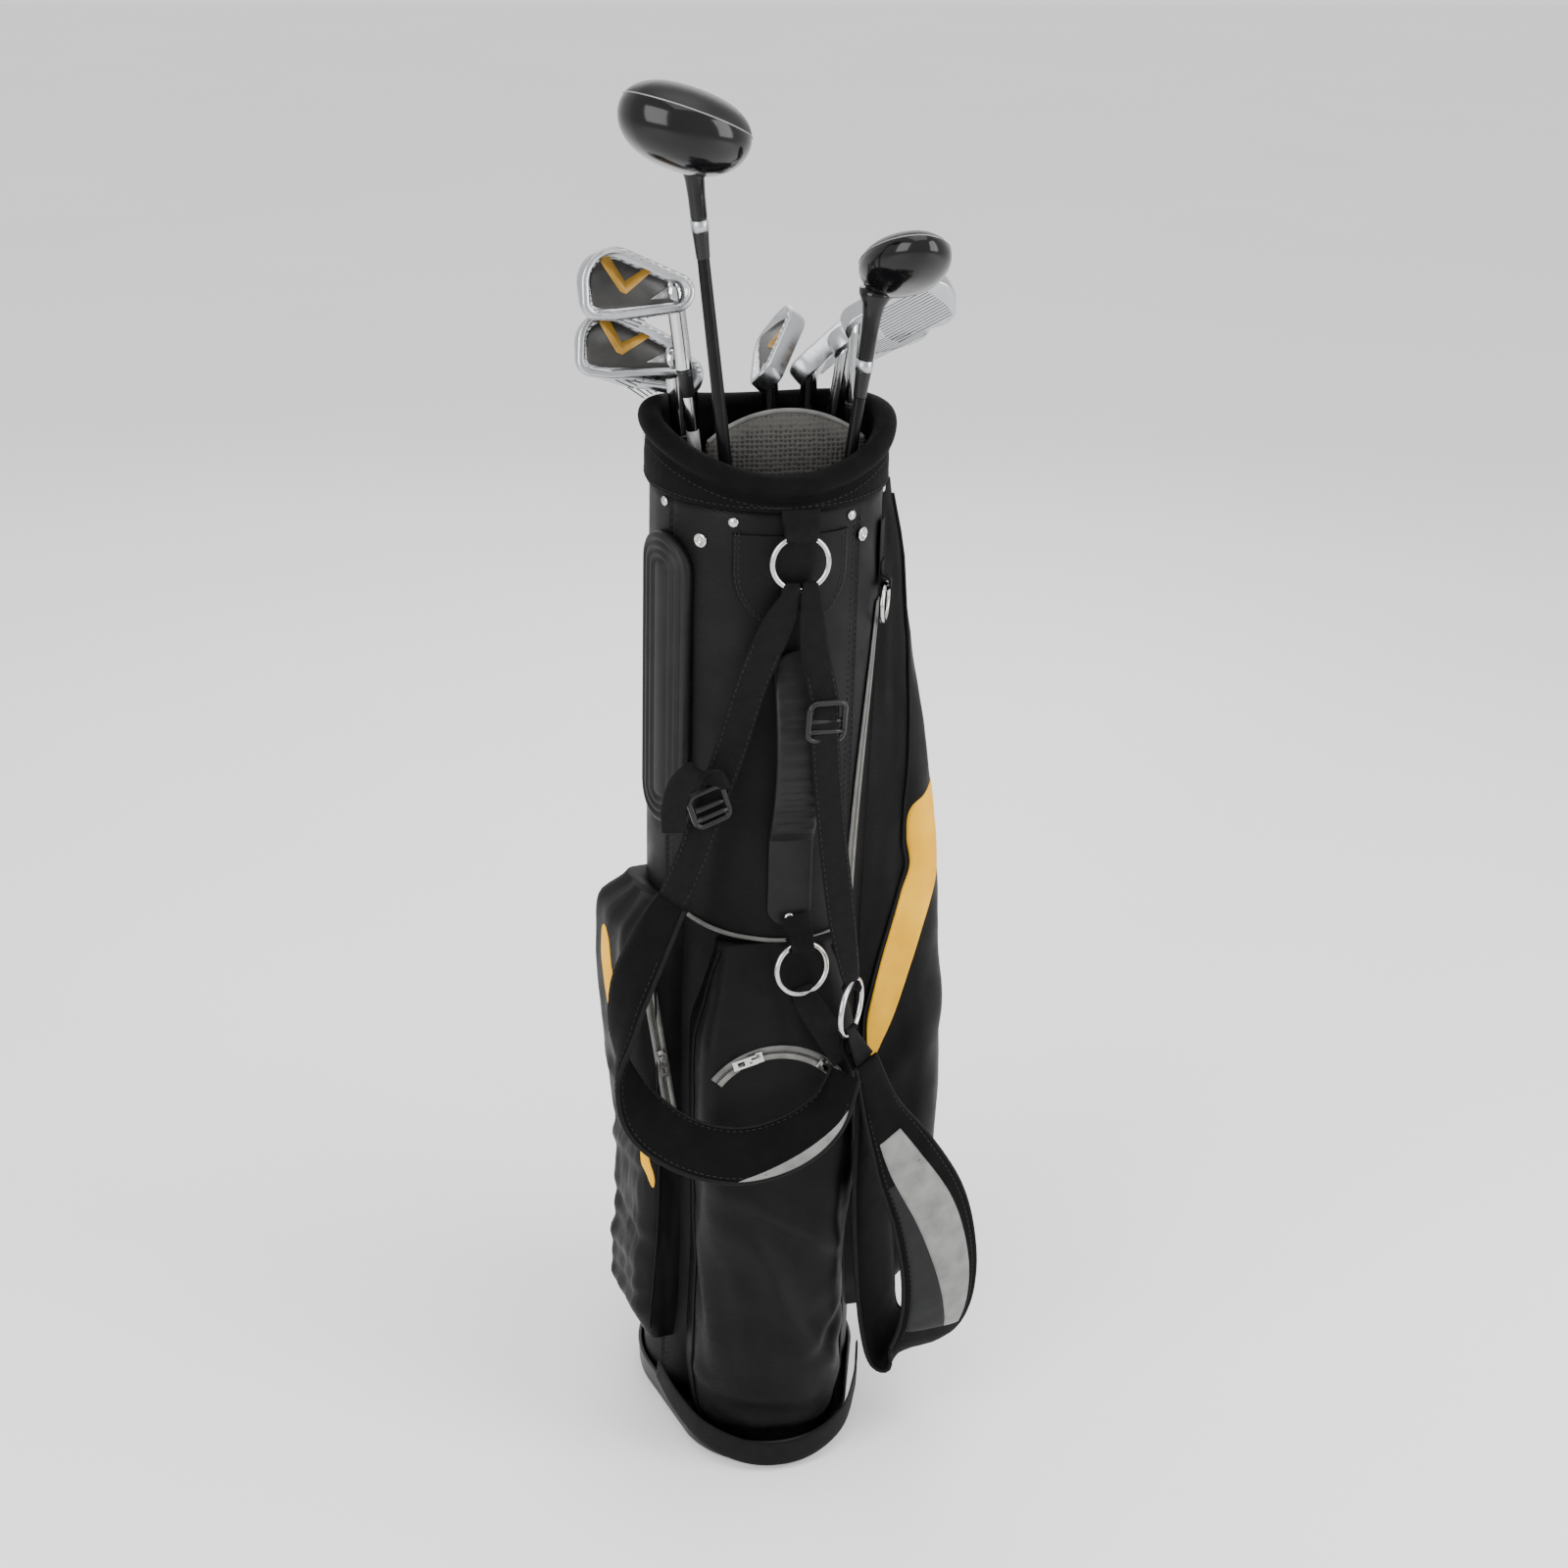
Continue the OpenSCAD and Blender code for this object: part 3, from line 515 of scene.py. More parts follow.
rings = []
for i in range(106):
    height = TUBE_LOW + (TUBE_TOP - TUBE_LOW) * i / 105
    rings.append([around(a, tube_skin(a, height), height) for a in range(0, 360, 2)])
for height in (TUBE_TOP, 600, 300, TUBE_LOW):
    rings.append([around(a, TUBE_IN, height) for a in range(0, 360, 2)])
tube_cloth = dress(loft("tube_cloth", rings, loop=True), nylon, "bag", ["tube"])
for k, angle in enumerate(SEAMS):
    for side in (-2.2, 2.2):
        path = [around(angle + side, tube_skin(angle + side, z) + 0.3, z) for z in range(40, 850, 9)]
        outs = [around(angle + side, 1, 0).normalized() for _ in path]
        stitches(f"tube_stitch_{k}_{'a' if side < 0 else 'b'}", path, outs)
print("tube skin points:", len(tube_cloth.data.vertices))

# %% [markdown]
# ## The cuff
# The cuff is a foam roll covered in knit, high at both sides and low at the front, with a sewn line
# where the roll meets the collar. The roll is a loft round the mouth whose section is a round top on
# a flat neck; noise and small puckers along the seam keep it from looking like pipe.
# %% Cuff
CUFF_R, ROLL_D = 103, 19
CUFF_FRONT, CUFF_SIDE, CUFF_BACK, CUFF_PUCKERS = 885, 912, 897, 62


def cuff_top(angle):
    """Height of the cuff's top round the mouth, in millimetres."""
    turn = math.radians(angle)
    ends = CUFF_FRONT + (CUFF_BACK - CUFF_FRONT) * (1 - math.cos(turn)) / 2
    return ends + (CUFF_SIDE - (CUFF_FRONT + CUFF_BACK) / 2) * math.sin(turn) ** 2


def cuff_section(angle):
    """Points of the cuff's section, from the inner foot over the roll to the outer foot."""
    top = cuff_top(angle) - ROLL_D / 2
    mid = CUFF_R - ROLL_D / 2
    pucker = 0.35 * math.sin(math.radians(angle) * CUFF_PUCKERS)
    pucker += 0.9 * noise.noise(Vector((angle * 0.05, 3.1, 0.2)))
    out = [(CUFF_R - ROLL_D + 0.3, 855), (CUFF_R - ROLL_D + 0.3, (855 + top) / 2)]
    for k in range(19):
        t = math.radians(200 - k * 12.8)
        r = ROLL_D / 2 + 0.35 * math.sin(3 * t + angle * 0.07) - 0.25
        out.append((mid + r * math.cos(t), top + r * math.sin(t)))
    foot = top - ROLL_D / 2
    out += [(CUFF_R - 6.6, foot + 1.2), (CUFF_R - 7.4, foot - 1.2), (CUFF_R - 6.4, foot - 4),
            (CUFF_R - 5.6 + pucker * 0.5, (foot + 858) / 2), (CUFF_R - 5.4, 857.5), (CUFF_R - 6.6, 855.2)]
    return [around(angle, r, z) for r, z in out]


cuff_roll = loft("cuff_roll", [cuff_section(a * 1.5) for a in range(240)], loop=True)
dress(cuff_roll, knit, "bag", ["cuff"])
outs = [around(a * 2, 1, 0).normalized() for a in range(181)]
hem = [around(a * 2, CUFF_R - 5.0, cuff_top(a * 2) - ROLL_D - 6.5) for a in range(181)]
stitches("cuff_stitch", hem, outs)
hem = [around(a * 2, CUFF_R - 5.1, 859.5) for a in range(181)]
stitches("collar_stitch", hem, outs)
print("cuff top from", CUFF_FRONT, "to", CUFF_SIDE)

# %% [markdown]
# ## The boot
# The boot is a low moulded cup with a nose that carries the front pocket. Its plan is a circle round
# the tube joined to a smaller circle in front. The loft walks that outline up the outside, over a
# rolled lip and down the inside, so the wall has a real thickness.
# %% Boot
BOOT_R, NOSE_R, NOSE_Y = 98, 76, -82
BOOT_WALL = ((9, 0), (3.5, 0.2), (1.2, 1.6), (0.6, 5), (0.9, 8), (0.3, 9.5), (0.1, 19), (-0.5, 20.5),
             (-0.6, 22.6), (0.2, 24), (1.8, 24.3), (3, 23.4), (3.2, 9), (6, 8))


def boot_outline(inset, count=96):
    """Convex outline round two circles, in millimetres."""
    big, small = BOOT_R - inset, NOSE_R - inset
    slope = math.asin((big - small) / -NOSE_Y)
    out = []
    for k in range(count):
        a = 2 * math.pi * k / count - math.pi / 2
        front = math.sin(a) < -math.sin(slope) + 1e-9
        r, y = (small, NOSE_Y) if front else (big, 0)
        out.append((r * math.cos(a), y + r * math.sin(a)))
    return out


rings = []
for inset, height in BOOT_WALL:
    rings.append([Vector((x, y, height)) * MM for x, y in boot_outline(inset)])
dress(loft("boot_shell", rings), boot_plastic, "bag", ["boot"])
print("boot reaches forward to", round((NOSE_Y - NOSE_R) * MM, 3))

# %% [markdown]
# ## Dividers
# The grey panel across the mouth is spacer mesh over foam, with an arched top bound in a paler edge.
# It is swollen in the middle and thin at its edges, so it is made as a grid over its arch with a
# thickness that falls off, mirrored to the back and closed round the rim.
# %% Mesh divider and rear divider
PANEL_LEFT, PANEL_RIGHT, PANEL_LOW, PANEL_TOP = -54, 73, 776, 917
PANEL_MID = (PANEL_LEFT + PANEL_RIGHT) / 2
PANEL_ARCH_R, PANEL_Y, PANEL_CELLS = 92, -30, 44


def panel_top(x):
    """Height of the panel's arched edge, in millimetres."""
    return PANEL_TOP - PANEL_ARCH_R + math.sqrt(max(PANEL_ARCH_R ** 2 - (x - PANEL_MID) ** 2, 0))


def panel_side(x_share, z_share, front):
    """Point on the panel's cloth from its shares of the width and height; front is 1 or -1."""
    x = PANEL_LEFT + (PANEL_RIGHT - PANEL_LEFT) * x_share
    z = PANEL_LOW + (panel_top(x) - PANEL_LOW) * z_share
    edge = min(x_share, 1 - x_share, (1 - z_share) * 1.1, z_share * 1.1 + 0.05) * 9
    swell = 4.6 * (1 - math.exp(-edge)) + 0.4
    swell += 0.4 * noise.noise(Vector((x * 0.05, z * 0.05, front)))
    return Vector((x, PANEL_Y - front * swell, z)) * MM


shares = [k / PANEL_CELLS for k in range(PANEL_CELLS + 1)]
points = [panel_side(x_share, z_share, face) for face in (1, -1) for z_share in shares for x_share in shares]
mesh_panel = mesh_object("mesh_panel", points, sheet_faces(PANEL_CELLS, PANEL_CELLS))
dress(mesh_panel, air_mesh, "bag", ["mesh_divider"])
spots = [PANEL_LEFT + 1.5 + 1.25 * k for k in range(100)]
edge = [Vector((x, PANEL_Y, panel_top(x) - 0.4)) * MM for x in spots]
dress(pipe("panel_edge", edge, 1.9 * MM), grey_trim, "bag")
rear_stops = ((-0.5, -25, 29), (-0.9, 20, 29.5), (-0.2, 52, 29.5), (-0.5, 83, 29))
rear_web = strip("rear_web", [[(x, y, 853), (0, 0, 1), width, 2.2] for x, y, width in rear_stops])
dress(rear_web, webbing, "bag", ["rear_divider"])
print("divider arch rises to", PANEL_TOP)

# %% [markdown]
# ## Pockets
# Each pocket is a bag of nylon sewn to the tube. Its outline at any height is a rounded box that
# stops on the tube, so one function gives a point on its cloth from a height and a share of the way
# round. The stripes and the cords of piping sewn to a pocket ask the same function for their place,
# which keeps them on the cloth wherever the cloth bulges.
# %% Pocket helpers
POCKET_ROOT_R, POCKET_BACK_R = 92, 91.5


def pocket_at(stack, height):
    """Angle, reach, half width and corner radius at a height, read smoothly from the stack."""
    rows = [(s[1], s[2], s[3], s[4]) for s in stack]
    zs = [s[0] for s in stack]
    height = min(max(height, zs[0]), zs[-1])
    i = max(k for k in range(len(zs) - 1) if zs[k] <= height)
    t = (height - zs[i]) / (zs[i + 1] - zs[i])
    return smooth_between((rows[max(i - 1, 0)], rows[i], rows[i + 1], rows[min(i + 2, len(rows) - 1)]), t)


def pocket_point(stack, share, height, folds=(), lift=0.0, seed=0.0):
    """Point on a pocket's cloth: share runs 0 to 1 from its -side edge round the front."""
    angle, reach, half, corner = pocket_at(stack, height)
    half, corner = min(half, 88), min(corner, half - 4)
    root = math.sqrt(max(POCKET_ROOT_R ** 2 - half ** 2, 20 ** 2))
    flat, arc, face = max(reach - corner - root, 0.5), corner * math.pi / 2, 2 * (half - corner)
    total = 2 * flat + 2 * arc + face
    s = share * total
    if s < flat:
        x, y, nx, ny = root + s, -half, 0, -1
    elif s < flat + arc:
        t = (s - flat) / corner
        nx, ny = math.sin(t), -math.cos(t)
        x, y = reach - corner + corner * nx, -half + corner + corner * ny
    elif s < flat + arc + face:
        x, y, nx, ny = reach, -half + corner + s - flat - arc, 1, 0
    elif s < flat + 2 * arc + face:
        t = (s - flat - arc - face) / corner
        nx, ny = math.cos(t), math.sin(t)
        x, y = reach - corner + corner * nx, half - corner + corner * ny
    else:
        x, y, nx, ny = reach - corner - (s - flat - 2 * arc - face), half, 0, 1
    rough = noise.noise(Vector((share * 9 + seed, height * 0.016, seed))) * 1.6
    rough += noise.noise(Vector((share * 22 + seed, height * 0.04, seed + 5))) * 0.5
    hold = min(share, 1 - share, 0.08) / 0.08
    rise = (rough + (creases(Vector((share * 200, height)), folds) if folds else 0)) * hold + lift
    x, y = x + nx * rise, y + ny * rise
    turn = math.radians(angle)
    out, side = Vector((math.sin(turn), -math.cos(turn))), Vector((math.cos(turn), math.sin(turn)))
    flat_point = out * x + side * y
    return Vector((flat_point.x, flat_point.y, height)) * MM


def pocket_shell(name, stack, folds=(), seed=0.0, rows=90, count=88):
    """Closed pocket: the cloth round the front and a back that lies inside the tube's wall."""
    low, high = stack[0][0], stack[-1][0]
    rings = []
    for i in range(rows + 1):
        height = low + (high - low) * i / rows
        angle = pocket_at(stack, height)[0]
        front = [pocket_point(stack, k / count, height, folds, 0, seed) for k in range(count + 1)]
        first, last = [math.degrees(math.atan2(p.x, -p.y)) for p in (front[0], front[-1])]
        spread = (last - first + 360) % 360
        back = [around(last - spread * k / 13, POCKET_BACK_R, height) for k in range(1, 13)]
        rings.append(front + back)
    return loft(name, rings)


def patch(name, stack, edges, lift=0.5, folds=(), seed=0.0, columns=10):
    """Cloth patch on a pocket from rows of [height, share at one edge, share at the other]."""
    rows = curve(edges, 8)
    points = []
    for inner in (0, 1):
        for height, left, right in rows:
            for k in range(columns + 1):
                share, rise = left + (right - left) * k / columns, lift - inner * (lift + 0.6)
                points.append(pocket_point(stack, share, height, folds, rise, seed))
    return mesh_object(name, points, sheet_faces(len(rows) - 1, columns))


print("pocket helpers are ready")

# %% [markdown]
# The three pockets. Their stacks follow the solid model's slices: height, angle round the bag, reach
# from the axis, half width and corner radius. The folds run where each pocket really creases: across
# the belly of the front pocket, and down and across the tall side ones.
# %% Three pockets
LEFT_STACK = [[70, -80, 106, 40, 10], [100, -80, 119, 44, 16], [180, -80, 116, 46, 16],
              [260, -80, 116, 46, 16], [330, -80, 125, 46, 16], [400, -80, 131, 46, 16],
              [455, -80, 133, 46, 16], [484, -80, 130, 46, 16], [506, -80, 108, 34, 10]]
RIGHT_STACK = [[72, 94, 120, 42, 16], [110, 94, 146, 50, 22], [220, 95, 160, 56, 26],
               [325, 95, 164, 56, 28], [440, 95, 157, 54, 28], [575, 97, 145, 50, 24],
               [720, 102, 122, 43, 18], [790, 105, 112, 37, 12], [848, 106, 101, 28, 8]]
BALL_STACK = [[12, 0, 148, 62, 58], [60, 0, 151, 66, 56], [180, 0, 149, 64, 44], [290, 0, 144, 66, 20],
              [402, 0, 128, 66, 16], [445, 0, 113, 56, 14], [484, 0, 99, 48, 10]]
LEFT_FOLDS = [((10, 240), (190, 262), 9, 3.2), ((20, 190), (170, 172), 8, -2.6),
              ((0, 140), (150, 152), 9, 3.0), ((30, 110), (190, 118), 7, -2.2),
              ((60, 330), (140, 300), 9, 2.0)]
RIGHT_FOLDS = [((20, 300), (90, 420), 14, 2.4), ((120, 260), (60, 160), 16, -2.2),
               ((10, 150), (120, 200), 12, 2.2), ((40, 620), (60, 480), 10, 1.5),
               ((100, 520), (70, 700), 12, -1.4)]
BALL_FOLDS = [((60, 285), (150, 205), 11, 5.0), ((75, 245), (120, 120), 9, 4.4),
              ((140, 300), (158, 170), 9, -4.4), ((35, 230), (60, 90), 9, 3.6),
              ((80, 180), (160, 60), 11, 4.8), ((120, 95), (170, 140), 9, -3.8),
              ((30, 75), (120, 62), 7, 3.0), ((50, 440), (150, 452), 10, 1.8),
              ((60, 40), (150, 34), 6, 2.2)]
left_pocket_cloth = pocket_shell("left_pocket_cloth", LEFT_STACK, LEFT_FOLDS, 1.0)
dress(left_pocket_cloth, nylon, "bag", ["left_pocket"])
right_pocket_cloth = pocket_shell("right_pocket_cloth", RIGHT_STACK, RIGHT_FOLDS, 2.0, rows=120)
dress(right_pocket_cloth, nylon, "bag", ["right_pocket"])
ball_pocket_cloth = pocket_shell("ball_pocket_cloth", BALL_STACK, BALL_FOLDS, 3.0, rows=120, count=110)
dress(ball_pocket_cloth, nylon, "bag", ["ball_pocket"])
print("pocket cloth points:", len(left_pocket_cloth.data.vertices), len(right_pocket_cloth.data.vertices))

# %% [markdown]
# ## Harness bands
# Straps and pads are all bands: a path, a direction for the width, a width and a thickness. One
# helper reads the stops once and gives back smooth rows, so that a pad, the piping sewn along its
# edges and the patches on its faces share the same rows and can't drift apart.
# %% Band helpers
def band_rows(stops, steps=8):
    """Rows of [point, run, across, out, width, thickness] in metres along smooth stops."""
    rows = curve([(*s[0], *s[1], s[2], s[3]) for s in stops], steps)
    path = [Vector(r[:3]) * MM for r in rows]
    hints = [Vector(r[3:6]).normalized() for r in rows]
    return [[p, *axes, r[6] * MM, r[7] * MM] for r, p, axes in zip(rows, path, frames_along(path, hints))]


def band_point(row, share, face, lift=0.0):
    """Point on a band: share runs -1 to 1 over the width, face is 1 or -1, lift is in millimetres."""
    p, run, across, out, width, thick = row
    round_off = (1 - min(abs(share), 1) ** 3.2) ** 0.5
    return p + across * width / 2 * share + out * face * (thick / 2 * round_off + lift * MM)


def band_mesh(name, rows, seed=0.0, wrinkle=0.0, count=14):
    """Closed band with full soft edges; wrinkle is the height of its ripples in millimetres."""
    rings = []
    for i, row in enumerate(rows):
        ring = []
        for face in (1, -1):
            for k in range(count + 1):
                share = (-1 + 2 * k / count) * face
                along = noise.noise(Vector((i * 0.35, share * 1.2 + seed, seed * 3 + face)))
                pucker = noise.noise(Vector((i * 1.1, share * 0.6, seed + face * 2)))
                lift = wrinkle * (along + 0.6 * pucker) * (1 - abs(share) ** 4)
                ring.append(band_point(row, share * 0.999, face, lift))
        rings.append(ring)
    return loft(name, rings)


def band_patch(name, rows, shares, face, lift=0.5, wrinkle=0.0, seed=0.0, columns=12):
    """Cloth sewn on one face of a band: shares holds the two edges at each row."""
    points = []
    for inner in (0, 1):
        for i, (row, (low, high)) in enumerate(zip(rows, shares)):
            for k in range(columns + 1):
                share = low + (high - low) * k / columns
                hem = min(k, columns - k, i, len(rows) - 1 - i, 2) / 2
                rough = 0.8 * noise.noise(Vector((i * 0.9, share * 1.1, seed)))
                ripple = wrinkle * hem * (rough + 0.8 * abs(math.sin(i * 0.8 + 1.2 * share + seed)))
                points.append(band_point(row, share, face, lift + ripple if inner == 0 else -1.0))
    return mesh_object(name, points, sheet_faces(len(rows) - 1, columns))


def band_edges(name, rows, radius=1.9):
    """Bound edges: a cord of binding along both sides of a band."""
    for tag, share in (("a", -1.0), ("b", 1.0)):
        path = [band_point(row, share, 1) for row in rows]
        dress(pipe(f"{name}_{tag}", path, radius * MM), binding, "bag")


def band_stitches(name, rows, share, face, lift=0.2):
    """A row of threads along a band, a share of the way across one face."""
    path = [band_point(row, share, face, lift) for row in rows]
    return stitches(name, path, [row[3] * face for row in rows])


def band_length(rows):
    """Length of a band's middle line, in metres."""
    return sum((b[0] - a[0]).length for a, b in zip(rows, rows[1:]))


print("band helpers are ready")

# %% [markdown]
# ## Straps
# Each strap is ribbed webbing that folds round a steel ring, runs through a buckle and ends in a pad.
# The fold round the ring's wire is part of the same band: it starts behind the wire, comes over it
# and hangs down, which is how the real end is sewn.
# %% Straps and link
RING_X = 9
level = (0.97, -0.15, 0)
left_strap_rows = band_rows([
    [(2, -98.4, 776), level, 15, 2.2], [(2, -97.6, 789), level, 14, 2.2], [(2, -98.6, 797), level, 13, 2.2],
    [(2, -102, 799.4), level, 13, 2.2], [(2, -105.4, 796.5), level, 13.5, 2.2],
    [(1, -106.6, 789), level, 16, 2.3],
    [(-10, -110, 768), (0.95, -0.2, 0), 24, 2.4], [(-28, -112, 724), (0.95, -0.2, 0), 25, 2.4],
    [(-44, -112, 668), (0.95, -0.2, 0), 25, 2.4], [(-58, -113, 628), (0.95, -0.2, 0), 25, 2.4],
    [(-76, -117, 575), (0.95, -0.2, 0), 25, 2.4], [(-93, -122, 538), (0.6, -0.7, -0.3), 27, 3]])
dress(band_mesh("left_strap_web", left_strap_rows, 1), webbing, "bag", ["left_strap"])
tail_rows = band_rows([
    [(-55, -118.5, 636), (0.95, -0.2, 0), 20, 2.3], [(-62, -124, 652), (0.95, -0.2, 0), 20, 2.3],
    [(-75, -127, 655), (0.95, -0.2, 0), 20, 2.3], [(-86, -125, 644), (0.95, -0.2, 0), 20, 2.3],
    [(-91, -122.5, 622), (0.95, -0.2, 0), 20, 2.3], [(-90, -121, 602), (0.95, -0.2, 0), 20, 2.3]])
dress(band_mesh("left_strap_tail", tail_rows, 2), webbing, "bag")
right_strap_rows = band_rows([
    [(17, -98.4, 776), (1, 0.1, 0), 15, 2.2], [(17, -97.6, 789), (1, 0.1, 0), 14, 2.2],
    [(17, -98.6, 797.4), (1, 0.1, 0), 13, 2.2], [(17, -102, 799.8), (1, 0.1, 0), 13, 2.2],
    [(17, -106, 797), (1, 0.1, 0), 13.5, 2.2], [(17, -110, 786), (1, 0.1, 0), 18, 2.3],
    [(20, -115, 746), (0.98, 0.15, 0), 24, 2.4], [(26, -125, 712), (0.98, 0.15, 0), 24, 2.4],
    [(27, -131, 676), (0.98, 0.15, 0), 24, 2.4], [(34, -132, 606), (0.98, 0.15, 0), 24, 2.4],
    [(44, -135, 530), (0.98, 0.15, 0), 24, 2.4], [(51.5, -140.5, 480), (0.9, 0.4, 0), 20, 2.4],
    [(53.5, -144.2, 468), (0.7, 0.7, 0), 17, 2.3], [(54, -142.5, 462.6), (0.6, 0.8, 0), 17, 2.3],
    [(54.4, -139.5, 466), (0.6, 0.8, 0), 17, 2.3], [(53, -138, 480), (0.7, 0.6, 0), 18, 2.3]])
dress(band_mesh("right_strap_web", right_strap_rows, 3), webbing, "bag", ["right_strap"])
link_rows = band_rows([
    [(19, -114, 440), (0.9, 0.2, 0.2), 22, 2.3], [(18, -115.4, 447), (0.9, 0.2, 0.2), 20, 2.3],
    [(18, -118, 452.6), (0.9, 0.2, 0.3), 18, 2.3], [(19, -121.6, 448), (0.9, 0.2, 0.3), 20, 2.3],
    [(24, -126, 438), (0.8, 0.2, 0.5), 23, 2.4], [(36, -139, 421), (0.8, 0.2, 0.5), 24, 2.4],
    [(50, -147.5, 400), (0.8, 0.2, 0.5), 24, 2.4]])
dress(band_mesh("link_web", link_rows, 4), webbing, "bag")
for k, (rows, low, high) in enumerate(((left_strap_rows, 52, 88), (right_strap_rows, 52, 92))):
    for share in (-0.82, 0.82):
        band_stitches(f"strap_stitch_{k}_{'a' if share < 0 else 'b'}", rows[low:high], share, 1)
print("left strap is about", round(band_length(left_strap_rows), 2), "m long")

# %% [markdown]
# The webbing tabs: one holds the top ring to its patch, one holds the middle ring to the end of the
# carry handle, and one wraps the ring that both pads hang from.
# %% Ring tabs
tab_rows = band_rows([
    [(RING_X, -97.2, 858), (1, 0, 0), 30, 2.2], [(RING_X, -99.6, 850), (1, 0, 0), 30, 2.2],
    [(RING_X, -105.2, 843), (1, 0, 0), 27, 2.2], [(RING_X, -105.8, 837), (1, 0, 0), 25, 2.2],
    [(RING_X, -102, 833.4), (1, 0, 0), 25, 2.2], [(RING_X, -98, 837), (1, 0, 0), 25, 2.2],
    [(RING_X, -96.8, 846), (1, 0, 0), 26, 2.2]])
dress(band_mesh("top_ring_tab", tab_rows, 5), webbing, "bag")
tab_rows = band_rows([
    [(13, -103.4, 512), (1, 0.1, 0), 26, 2.2], [(15, -108, 503), (1, 0.15, 0), 24, 2.2],
    [(16, -118, 498.4), (1, 0.2, 0), 21, 2.2], [(16.6, -122.4, 491), (1, 0.2, 0), 20, 2.2],
    [(17, -119, 486.6), (1, 0.2, 0), 20, 2.2],
    [(16.6, -114, 489), (1, 0.2, 0), 20, 2.2], [(15, -106.5, 494), (1, 0.1, 0), 22, 2.2]])
dress(band_mesh("middle_ring_tab", tab_rows, 6), webbing, "bag")
tab_rows = band_rows([
    [(66, -149, 398), (0.8, 0.6, 0), 24, 2.4], [(60, -146.4, 410), (0.7, 0.7, 0), 20, 2.4],
    [(55.6, -144.8, 420), (0.6, 0.8, 0), 17, 2.3], [(54, -142, 424.4), (0.55, 0.83, 0), 16, 2.3],
    [(52.6, -139.2, 419), (0.6, 0.8, 0), 17, 2.3], [(54, -142, 406), (0.7, 0.6, 0), 20, 2.4],
    [(62, -148.4, 394), (0.8, 0.6, 0), 22, 2.4]])
dress(band_mesh("pad_ring_tab", tab_rows, 7), webbing, "bag")
print("three tabs hold the rings")

# %% [markdown]
# ## Buckles
# A webbing slider is a rounded plastic frame with bars across it. Bending a round cord of plastic
# round a rectangle with soft corners gives the moulded look at once, and each bar is one more cord.
# %% Buckles
def buckle(name, centre, turns, width, height, stands_for=()):
    """Frame and two bars, turned about Y and then about Z in degrees."""
    turn = Matrix.Translation(Vector(centre) * MM) @ Matrix.Rotation(math.radians(turns[1]), 4, "Z")
    turn = turn @ Matrix.Rotation(math.radians(turns[0]), 4, "Y")
    corner, w, h = 6.0, width / 2 - 2.4, height / 2 - 2.4
    x, z = w - corner, h - corner
    outline = []
    for cx, cz, start in ((x, z, 0), (-x, z, 90), (-x, -z, 180), (x, -z, 270)):
        for k in range(7):
            a = math.radians(start + 15 * k)
            outline.append(turn @ (Vector((cx + corner * math.cos(a), 0, cz + corner * math.sin(a))) * MM))
    hoop = pipe(name, outline, 2.5 * MM, 12, loop=True)
    dress(hoop, black_plastic, "bag", stands_for)
    for tag, z in (("mid", 0.0), ("low", -h * 0.52)):
        bar = [turn @ (Vector((x, 1.0 if tag == "mid" else -0.6, z)) * MM) for x in (-w, -w / 2, 0, w / 2, w)]
        dress(pipe(f"{name}_{tag}", bar, 2.2 * MM, 12), black_plastic, "bag")


buckle("slider_buckle", (-62, -119.5, 622), (-18, 10), 34, 34, ["buckles"])
buckle("ladder_buckle", (28, -129, 694), (4, 12), 35, 36)
print("two buckles")

# %% [markdown]
# ## Shoulder pads
# Two foam pads hang from the harness ring. The left one is slung round the front of the bag like a
# bowl; the right one hangs in a long loop with a silver outer face and a slate lower part. Both are
# bands with full edges, ripples from noise, bound edges and sewn patches.
# %% Left pad
left_pad_rows = band_rows([
    [(-92, -122, 541), (0.6, -0.7, -0.3), 27, 5], [(-110, -126, 506), (0.3, -0.8, -0.4), 41, 9],
    [(-129, -135, 462), (0.1, -0.8, -0.6), 49, 10], [(-135, -149, 415), (0, -0.7, -0.7), 49, 10],
    [(-122, -162, 374), (0, -0.7, -0.7), 47, 10], [(-90, -173, 347), (0, -0.7, -0.7), 45, 10],
    [(-45, -178, 334), (0, -0.7, -0.7), 45, 10], [(0, -174, 340), (0, -0.7, -0.7), 43, 10],
    [(32, -167, 361), (0, -0.7, -0.7), 37, 9], [(48, -158, 392), (0.2, -0.6, -0.6), 27, 5]], 10)
left_pad_cloth = band_mesh("left_pad_cloth", left_pad_rows, 8, 0.7, 18)
dress(left_pad_cloth, knit, "bag", ["left_pad"])
band_edges("left_pad_edge", left_pad_rows)
LEFT_OUT = -1
for tag, share in (("a", -0.86), ("b", 0.86)):
    for face in (1, -1):
        name = f"left_pad_stitch_{tag}_{'out' if face > 0 else 'in'}"
        band_stitches(name, left_pad_rows[12:-6], share, face)
silver_rows = left_pad_rows[60:84]
silver_shares = [(0.97 - 0.38 * math.sin(math.pi * i / 23) ** 0.8, 0.98) for i in range(24)]
silver_patch = band_patch("left_pad_silver", silver_rows, silver_shares, LEFT_OUT, 0.4, 0.4, 2.0)
dress(silver_patch, silver_cloth, "bag")
print("left pad is", round(band_length(left_pad_rows), 2), "m long")

